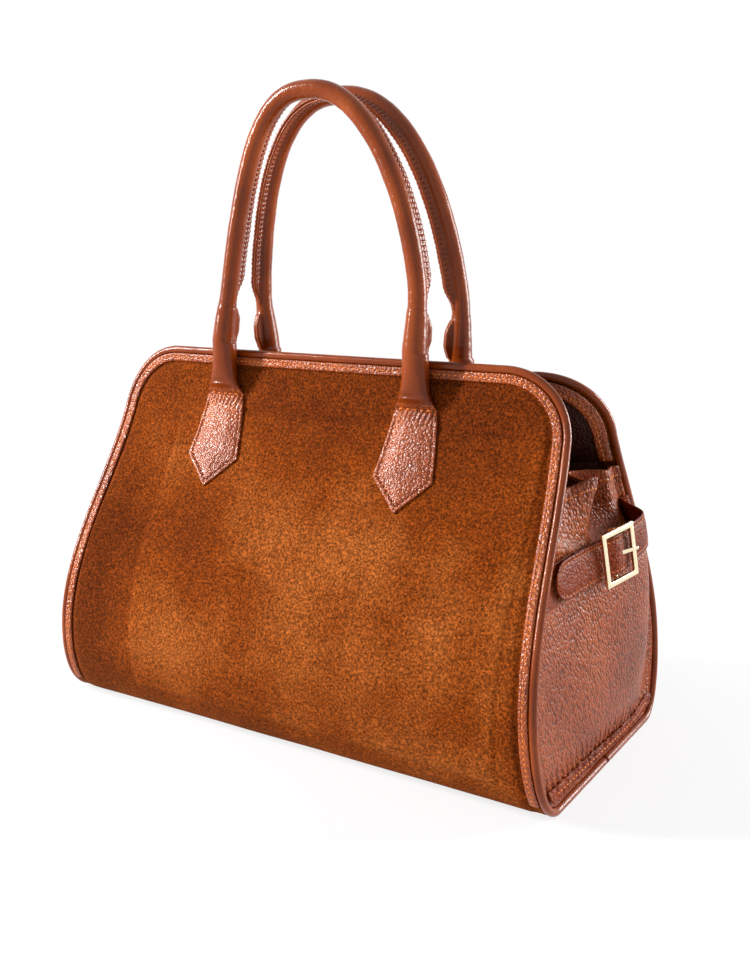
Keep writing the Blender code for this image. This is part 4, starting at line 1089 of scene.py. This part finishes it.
def tab_section(depth):
    """A tab's section at a depth, straight below its neck and smooth above it."""
    for low, high in zip(TAB_SECTIONS, TAB_SECTIONS[1:]):
        if depth >= high[0]:
            share = (low[0] - depth)/(low[0] - high[0])
            if depth < TAB_NECK_DEPTH:
                share = blend(share, ease(share), 0.4)
            return [blend(a, b, share) for a, b in zip(low, high)][1:]
    return TAB_SECTIONS[-1][1:]


def tab_edge_distance(across, depth):
    """How far a place on a tab's flat part is inside its outline."""
    side = TAB_NECK_HALF_WIDTH + TAB_SIDE_SLOPE*(depth - TAB_NECK_DEPTH) - across
    tip = TAB_TIP_DEPTH - TAB_TIP_SLOPE*across - depth
    return min(side/math.hypot(1, TAB_SIDE_SLOPE), tip/math.hypot(1, TAB_TIP_SLOPE))


def make_tab(side, hand, word, hand_word):
    """A pointed tab that is drawn up into the rolled sleeve round the handle's end."""
    base = panel_point(side, 0, 2)
    hinge = hinge_point(side, hand)
    shift = RIGHT_TAB_SHIFT if (side, hand) == (FRONT, RIGHT) else 0
    middle = hinge.x + shift
    foot = arch_point(side, 0 if hand == RIGHT else math.pi).x - middle

    def row_of(depth):
        return v_at(PANEL_HEIGHT - depth)

    def place(u, w):
        across, out = round_section(u, 2)
        if w < TAB_ROWS_SHARE:
            depth = blend(TAB_TIP_DEPTH, -HINGE_RISE, w/TAB_ROWS_SHARE)
            half, thick, level, power = tab_section(depth)
            across, out = round_section(u, power)
            lean = foot*ease((TAB_NECK_DEPTH - depth)/(TAB_NECK_DEPTH + HINGE_RISE))
            # The fin inside the sleeve still swells its right side here
            swell = SLEEVE_SWELL*ease((TAB_NECK_DEPTH - depth)/0.016)*ease(across)
            x = middle + lean + half*across + swell
            rise = level + thick/2*(1 + out)
            if out > 0 and depth > TAB_NECK_DEPTH - 0.006:
                inside = tab_edge_distance(abs(half*across), depth)
                rise += 0.0010*ease((inside - 0.003)/0.009)
                rise -= 0.00065*bump(inside - TAB_STITCH_INSET, 0.0010)
                rise -= 0.0010*bump(depth - TAB_NECK_DEPTH, 0.0016)
                pull = bump(depth - TAB_NECK_DEPTH - 0.003, 0.009)
                rise += 0.0004*pull*math.sin((across*half + 0.3*depth)*2000)
            if depth > 0:
                return panel_point(side, x, row_of(depth), rise)
            return Vector((x, base.y + side*rise, base.z - depth))
        share = (w - TAB_ROWS_SHARE)/(1 - TAB_ROWS_SHARE)
        height = SLEEVE_TOP*min(share/SLEEVE_CAP_SHARE, 1)
        turn = turn_at(side, max(height, 0.00002))
        turn = turn if hand == RIGHT else math.pi - turn
        centre = arch_point(side, turn)
        centre.x = blend(middle + foot, centre.x, ease(height/0.006))
        along = (arch_point(side, turn + 0.01) - arch_point(side, turn - 0.01)).normalized()*hand
        along = UP.lerp(along, ease(height/0.012)).normalized()
        outward = Vector((0, side, 0))
        outward = (outward - along*outward.dot(along)).normalized()
        sideways = Vector((1, 0, 0)) - along*along.x
        sideways = (sideways - outward*sideways.dot(outward)).normalized()
        fin = fin_directions(side, along*hand, 0 if hand == RIGHT else 1)[0]
        turned = math.atan2(fin.dot(sideways), -fin.dot(outward))
        angle = math.atan2(across, -out) - turned
        angle = math.atan2(math.sin(angle), math.cos(angle))
        grown = blend(0.5, 1, ease(height/0.0080))*ease((SLEEVE_TOP - height)/0.0110)
        radius = blend(*SLEEVE_RADII, ease(height/SLEEVE_TOP))
        radius = fin_radius(angle, radius, SLEEVE_FIN_REACH*grown, SLEEVE_FIN_HALF)
        radius = blend(radius, COVER_RADIUS + GAP, ease((height - SLEEVE_TOP + 0.0040)/0.0030))
        if share > SLEEVE_CAP_SHARE:
            radius *= 1 - (share - SLEEVE_CAP_SHARE)/(1 - SLEEVE_CAP_SHARE)
        crease = 0.00014*ripple(centre + outward*out*0.004 + sideways*across*0.004, 0.004)
        return centre + (outward*out + sideways*across)*(radius + crease*(share < SLEEVE_CAP_SHARE))

    name = f"{word}_{hand_word}_tab_and_sleeve"
    piece = skin(name, 128, 230, place, closed=True)
    dress(piece, "leather")
    # The tab is pebbled and the sleeve rolled smooth
    piece.data.materials.append(MATERIALS["smooth"])
    neck = panel_point(side, middle, row_of(TAB_NECK_DEPTH - 0.004)).z
    for face in piece.data.polygons:
        face.material_index = int(face.center.z > neck)
    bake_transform(piece)
    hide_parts(f"{word}_{hand_word}_handle_tab", f"{word}_{hand_word}_handle_sleeve")
    make_tab_stitches(side, middle, f"{word}_{hand_word}_tab")


def make_tab_stitches(side, middle, name):
    """The stitches round a tab, and those across it under the sleeve."""
    neck = TAB_NECK_HALF_WIDTH - TAB_STITCH_INSET*math.hypot(1, TAB_SIDE_SLOPE)
    tip = TAB_TIP_DEPTH - TAB_STITCH_INSET*math.hypot(1, TAB_TIP_SLOPE)
    corner_x = (tip - TAB_NECK_DEPTH + neck/TAB_SIDE_SLOPE)/(TAB_TIP_SLOPE + 1/TAB_SIDE_SLOPE)
    corner_depth = tip - TAB_TIP_SLOPE*corner_x
    corners = [(-neck, TAB_NECK_DEPTH), (-corner_x, corner_depth), (0, tip),
               (corner_x, corner_depth), (neck, TAB_NECK_DEPTH)]
    border, cross = [], []
    for (x0, d0), (x1, d1) in zip(corners, corners[1:] + corners[:1]):
        run = []
        level = 0.0029 if d0 == d1 else 0.0022
        for i in range(25):
            x, depth = blend(x0, x1, i/24), blend(d0, d1, i/24)
            point, normal = panel_frame(side, middle + x, v_at(PANEL_HEIGHT - depth))
            run.append((point + normal*level, normal))
        if d0 == d1:
            cross += stitch_places(run, 0.0040, slant=0.1)
        else:
            border += stitch_places(run, 0.0034)
    make_stitches(name + "_stitches", border, thread="dark_thread_hole_shade")
    make_stitches(name + "_cross_stitches", cross, 0.0033, 0.0006)


# The straps and buckles: s runs along the strap to the back, w up it and h out from the gusset
def strap_span(hand):
    v = v_at(STRAP_HEIGHT)
    ends = [belly_point(hand, q, v, gusset_fold(hand, q, v)) for q in (0, 1)]
    return (ends[1] - ends[0]).length


def strap_line(s, span, above=0.0):
    """A place on a gusset at a distance along the rising strap, or that far above it."""
    return BUCKLE_PLACE_SHARE + s/span, v_at(STRAP_HEIGHT + STRAP_RISE_SHARE*s + above)


def strap_matrix(hand, s):
    """The frame on a gusset's face under the strap, at a distance along it from the buckle."""
    span = strap_span(hand)
    step = 0.01*span
    place = belly_point(hand, *strap_line(s, span))
    ends = [belly_point(hand, *strap_line(s + shift, span)) for shift in (-step, step)]
    edges = [belly_point(hand, *strap_line(s, span, above)) for above in (-step, step)]
    along = (ends[1] - ends[0]).normalized()
    out = hand*along.cross(edges[1] - edges[0]).normalized()
    up = out.cross(along)
    return Matrix.Translation(place) @ Matrix((along, up, out)).transposed().to_4x4()


def tongue_level(s):
    if abs(s) < BAR_OFFSET:
        return blend(TONGUE_LOW_LEVEL, TONGUE_HIGH_LEVEL, (1 + math.cos(math.pi*s/BAR_OFFSET))/2)
    if s < 0:
        return TONGUE_LOW_LEVEL
    low = LAYER_GAP + TONGUE_THICKNESS/2
    return blend(TONGUE_LOW_LEVEL, low, ease((s - BAR_OFFSET)/TONGUE_FALL))


def seam_place(hand, side):
    """How far along the strap a seam is from the buckle, negative to the front."""
    share = 1 - BUCKLE_PLACE_SHARE if side == BACK else -BUCKLE_PLACE_SHARE
    return share*strap_span(hand)


def seam_slant(hand, side):
    """How far a seam runs along the strap for each step up it."""
    s = seam_place(hand, side)
    v = strap_line(s, strap_span(hand))[1]
    x = hand*half_width(v, GUSSET_INSET)
    run = panel_point(side, x, v + 0.01) - panel_point(side, x, v - 0.01)
    run = strap_matrix(hand, s).to_3x3().inverted() @ run
    return run.x/run.y


def end_shear(hand, s):
    """The strap's section turns from square at the buckle to the slant of the seam it is sewn in."""
    side = BACK if s > 0 else FRONT
    seam = abs(seam_place(hand, side))
    return seam_slant(hand, side)*ease((abs(s) - BAR_OFFSET)/(seam - BAR_OFFSET))


def strap_point(hand, s, w, level, shear):
    flat = abs(s) <= BAR_OFFSET
    matrix = strap_matrix(hand, 0 if flat else s)
    return matrix @ Vector((s + shear*w if flat else shear*w, w, level))


def make_tongue(hand, word):
    """The strap from the back seam, woven through the buckle, with a round free end."""
    seam = seam_place(hand, BACK) - STRAP_END_MARGIN
    tip = seam_place(hand, FRONT) + TONGUE_TIP_MARGIN
    half = STRAP_WIDTH/2

    def half_at(s):
        share = min(max(s - tip, 0)/half, 1)
        return half*math.sqrt(1 - (1 - share)**2)

    def place(u, w):
        s = tip + (seam - tip)*(w if w > 0.12 else w*w/0.12*0.5 + w*0.5)
        across, out = round_section(u, 7)
        width = half_at(s)
        shear = end_shear(hand, s) if s > 0 else 0
        level = tongue_level(s)
        inside = width - abs(across*width)
        lift = 0.00035*ease((inside - 0.002)/0.005) - 0.0003*bump(inside - STRAP_STITCH_INSET, 0.0009)
        lift *= ease(width/0.008)*(out > 0)
        return strap_point(hand, s, across*width, level + out*TONGUE_THICKNESS/2 + lift, shear)
    strap = skin(word + "_strap", 72, 200, place, closed=True)
    finish_piece(strap, "strap", "bag", word + "_strap_tongue")

    line = half - STRAP_STITCH_INSET
    start = seam - 0.002
    run = [(blend(start, tip + half, i/120), -line) for i in range(121)]
    for i in range(1, 24):
        turn = math.pi*i/24
        run.append((tip + half - line*math.sin(turn), -line*math.cos(turn)))
    run += [(blend(tip + half, start, i/120), line) for i in range(121)]
    track = []
    for s, w in run:
        shear = end_shear(hand, s) if s > 0 else 0
        matrix = strap_matrix(hand, 0 if abs(s) <= BAR_OFFSET else s)
        point = strap_point(hand, s, w, tongue_level(s) + TONGUE_THICKNESS/2 - 0.00008, shear)
        track.append((point, matrix.to_3x3() @ UP))
    make_stitches(word + "_strap_stitches", stitch_places(track, 0.0032), 0.0023, 0.0003)


def make_chape(hand, word):
    """The short strap from the front seam, folded round the buckle's middle bar."""
    low = GAP + CHAPE_THICKNESS/2
    seam = seam_place(hand, FRONT) + STRAP_END_MARGIN
    half = STRAP_WIDTH/2
    top = BAR_CENTRE_LEVEL + LOOP_RADIUS
    over = 2*GAP + 1.5*CHAPE_THICKNESS
    face_steps, back_steps = 40, 12
    path = [(blend(seam, -BAR_OFFSET, i/face_steps), low) for i in range(face_steps + 1)]
    path += [(blend(-BAR_OFFSET, 0, i/10), low) for i in range(1, 10)]
    for i in range(17):
        angle = -math.pi/2 + math.pi*i/16
        path.append((LOOP_RADIUS*math.cos(angle), BAR_CENTRE_LEVEL + LOOP_RADIUS*math.sin(angle)))
    path += [(-BAR_OFFSET*i/12, blend(top, over, ease(i/12))) for i in range(1, 13)]
    path += [(blend(-BAR_OFFSET, -CHAPE_TURN_BACK, i/back_steps), over)
             for i in range(1, back_steps + 1)]

    def place(u, w):
        k, (s, level), run = follow(path, w)
        across, out = round_section(u, 6)
        offset = out*CHAPE_THICKNESS/2*end_cap(w, 0.01)
        s -= run.y*offset
        level += run.x*offset
        if k < face_steps or k > len(path) - back_steps:
            shear = end_shear(hand, s) if k < face_steps else 0
            return strap_point(hand, s, across*half, level, shear)
        return strap_matrix(hand, 0) @ Vector((s, across*half, level))
    strap = skin(word + "_chape_strap", 40, 150, place, closed=True)
    finish_piece(strap, "strap", "bag", word + "_buckle_chape")


def select_faces(mesh, wanted):
    for face in mesh.polygons:
        face.select = wanted(face)
    for edge in mesh.edges:
        edge.select = False
    for point in mesh.vertices:
        point.select = False


def make_buckle(hand, word):
    """A cast frame: a flat bar bent square with mitred corners, and a round middle bar."""
    bpy.ops.mesh.primitive_cube_add(size=1, scale=(FRAME_LENGTH, FRAME_HEIGHT, FRAME_BAR_THICKNESS))
    piece = bpy.context.object
    piece.name = piece.data.name = word + "_buckle_cast_frame"
    bpy.ops.object.transform_apply(location=False, rotation=False, scale=True)
    bpy.context.tool_settings.mesh_select_mode = (False, False, True)
    select_faces(piece.data, lambda face: abs(face.normal.z) > 0.9)
    bpy.ops.object.mode_set(mode="EDIT")
    bpy.ops.mesh.inset(thickness=FRAME_BAR_WIDTH)
    bpy.ops.mesh.bridge_edge_loops()
    bpy.ops.mesh.select_all(action="SELECT")
    bpy.ops.mesh.bevel(offset=0.0005, segments=3)
    bpy.ops.mesh.select_all(action="SELECT")
    bpy.ops.mesh.subdivide(number_cuts=3)
    bpy.ops.mesh.normals_make_consistent(inside=False)
    bpy.ops.object.mode_set(mode="OBJECT")
    piece.data.transform(Matrix.Translation((0, 0, FRAME_BAR_LEVEL)))
    piece.select_set(False)
    reach = FRAME_HEIGHT - FRAME_BAR_WIDTH
    bpy.ops.mesh.primitive_cylinder_add(vertices=20, radius=CENTRE_BAR_RADIUS, depth=reach,
                                        location=(0, 0, BAR_CENTRE_LEVEL),
                                        rotation=(math.pi/2, 0, 0))
    bpy.ops.object.transform_apply(location=True, rotation=True, scale=True)
    parts = [piece, bpy.context.object]
    # A lug at each end carries the middle bar under the frame
    low = BAR_CENTRE_LEVEL - CENTRE_BAR_RADIUS
    for end in (-1, 1):
        bpy.ops.mesh.primitive_cube_add(
            size=1, location=(0, end*reach/2, (low + FRAME_BAR_LEVEL)/2),
            scale=(LUG_LENGTH, LUG_WIDTH, FRAME_BAR_LEVEL - low))
        bpy.ops.object.transform_apply(location=True, rotation=True, scale=True)
        bpy.ops.object.mode_set(mode="EDIT")
        bpy.ops.mesh.select_all(action="SELECT")
        bpy.ops.mesh.bevel(offset=0.0004, segments=2)
        bpy.ops.object.mode_set(mode="OBJECT")
        parts.append(bpy.context.object)
    for part in parts:
        part.select_set(True)
    bpy.context.view_layer.objects.active = piece
    bpy.ops.object.join()
    bpy.ops.object.shade_smooth_by_angle(angle=math.radians(30))
    piece.select_set(False)
    piece.data.transform(strap_matrix(hand, 0))
    finish_piece(piece, "metal", word + "_frame", word + "_buckle_frame")


def make_prong(hand, word):
    """The prong, curled round the middle bar and resting on the rear bar."""
    curl = CENTRE_BAR_RADIUS + GAP + PRONG_THICKNESS/2
    seat = FRAME_BAR_LEVEL + FRAME_BAR_THICKNESS/2 + GAP + PRONG_THICKNESS/2
    rise = seat - BAR_CENTRE_LEVEL
    slope = math.atan2(rise, BAR_OFFSET) - math.asin(curl/math.hypot(rise, BAR_OFFSET))
    path = []
    for i in range(31):
        angle = math.pi/2 + slope + (1 - i/30)*PRONG_CURL
        path.append((curl*math.cos(angle), BAR_CENTRE_LEVEL + curl*math.sin(angle), PRONG_WIDTH/2))
    start = path[-1]
    length = math.hypot(rise, BAR_OFFSET) + FRAME_BAR_WIDTH/2 + PRONG_OVERHANG
    for i in range(1, 31):
        share = i/30
        end = math.sqrt(max(0, 1 - max(0, (share - 0.93)/0.07)**2))
        path.append((start[0] + math.cos(slope)*length*share, start[1] + math.sin(slope)*length*share,
                     blend(PRONG_WIDTH, PRONG_TIP_WIDTH, share)/2*max(end, 0.05)))
    matrix = strap_matrix(hand, 0)

    def place(u, w):
        _, (s, level, half), run = follow(path, w)
        across, out = round_section(u, 3)
        size = end_cap(w, 0.01)
        offset = out*PRONG_THICKNESS/2*size
        return matrix @ Vector((s - run.y*offset, across*half*size, level + run.x*offset))
    prong = skin(word + "_prong_pin", 20, 90, place, closed=True)
    finish_piece(prong, "metal", word + "_prong", word + "_buckle_prong")


# The stage
FOCAL_PIXELS = 1104.7
LONG_SIDE_PIXELS = 964
SENSOR_MM = 36
CAMERA_PLACE = Vector((0.382734, -0.583085, 0.297196))
CAMERA_YAW = math.radians(32.223)
CAMERA_PITCH = math.radians(11.868)


def make_camera():
    data = bpy.data.cameras.new("camera")
    data.sensor_width = SENSOR_MM
    data.lens = FOCAL_PIXELS/LONG_SIDE_PIXELS*SENSOR_MM
    data.clip_start = 0.01
    data.clip_end = 50
    camera = bpy.data.objects.new("camera", data)
    bpy.context.scene.collection.objects.link(camera)
    camera.location = CAMERA_PLACE
    flat = math.cos(CAMERA_PITCH)
    forward = Vector((-math.sin(CAMERA_YAW)*flat, math.cos(CAMERA_YAW)*flat, -math.sin(CAMERA_PITCH)))
    camera.rotation_euler = forward.to_track_quat("-Z", "Y").to_euler()
    bpy.context.scene.camera = camera


def area_light(name, place, target, size, power):
    data = bpy.data.lights.new(name, "AREA")
    data.shape = "RECTANGLE"
    data.size, data.size_y = size
    data.energy = power
    lamp = bpy.data.objects.new(name, data)
    bpy.context.scene.collection.objects.link(lamp)
    lamp.location = place
    lamp.rotation_euler = (Vector(target) - Vector(place)).to_track_quat("-Z", "Y").to_euler()


def plain_tree(block):
    """An emptied node tree, and 1 for the rays that see the background as it is."""
    block.use_nodes = True
    tree = block.node_tree
    tree.nodes.clear()
    rays = add_node(tree, "ShaderNodeLightPath").outputs
    seen = rays["Is Camera Ray"]
    for kind in ("Is Glossy Ray", "Is Transmission Ray"):
        either = add_node(tree, "ShaderNodeMath", {0: seen, 1: rays[kind]}, operation="MAXIMUM")
        seen = either.outputs[0]
    return tree, seen


def make_stage():
    bpy.ops.mesh.primitive_plane_add(size=12)
    floor = bpy.context.object
    floor.name = "floor"
    material = bpy.data.materials.new("white_sweep")
    tree, seen = plain_tree(material)
    paper = add_node(tree, "ShaderNodeBsdfDiffuse", Color=linear("#f4f4f4"))
    glow = add_node(tree, "ShaderNodeEmission", Color=(1, 1, 1, 1), Strength=1.0)
    # The paper keeps a soft shadow near the bag and runs out to plain white beyond it
    distance = add_node(tree, "ShaderNodeVectorMath", {0: object_point(tree)}, operation="LENGTH")
    away = ramp(tree, distance.outputs["Value"], (0.15, 0.78), (0.50, 1.0))
    lit = add_node(tree, "ShaderNodeMixShader", {0: away, 1: paper.outputs[0], 2: glow.outputs[0]})
    choose = add_node(tree, "ShaderNodeMixShader",
                      {0: seen, 1: paper.outputs[0], 2: lit.outputs[0]})
    add_node(tree, "ShaderNodeOutputMaterial", {"Surface": choose.outputs[0]})
    floor.data.materials.append(material)

    world = bpy.data.worlds.new("studio")
    bpy.context.scene.world = world
    tree, seen = plain_tree(world)
    room = add_node(tree, "ShaderNodeBackground", Color=(1, 1, 1, 1), Strength=0.30)
    white = add_node(tree, "ShaderNodeBackground", Color=(1, 1, 1, 1), Strength=1.0)
    choose = add_node(tree, "ShaderNodeMixShader",
                      {0: seen, 1: room.outputs[0], 2: white.outputs[0]})
    add_node(tree, "ShaderNodeOutputWorld", {"Surface": choose.outputs[0]})

    area_light("key_softbox", (-1.47, -0.97, 0.95), (0, 0, 0.18), (0.14, 1.20), 72)
    area_light("side_softbox", (1.15, 1.05, 0.50), (0.15, 0, 0.12), (0.7, 0.9), 36)
    bpy.context.scene.view_settings.view_transform = "Standard"


make_panels()
for hand, word in HANDS:
    make_gusset(hand, word)
    make_base_strip(hand, word)
    make_tongue(hand, word)
    make_chape(hand, word)
    make_buckle(hand, word)
    make_prong(hand, word)
make_lining()
for side, word in SIDES:
    make_core(side, word)
    make_handle(side, word)
# The boards stay as the frame has them
for name in ("front_stiffener_board", "back_stiffener_board", "base_board"):
    dress(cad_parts[name], "board")
make_camera()
make_stage()
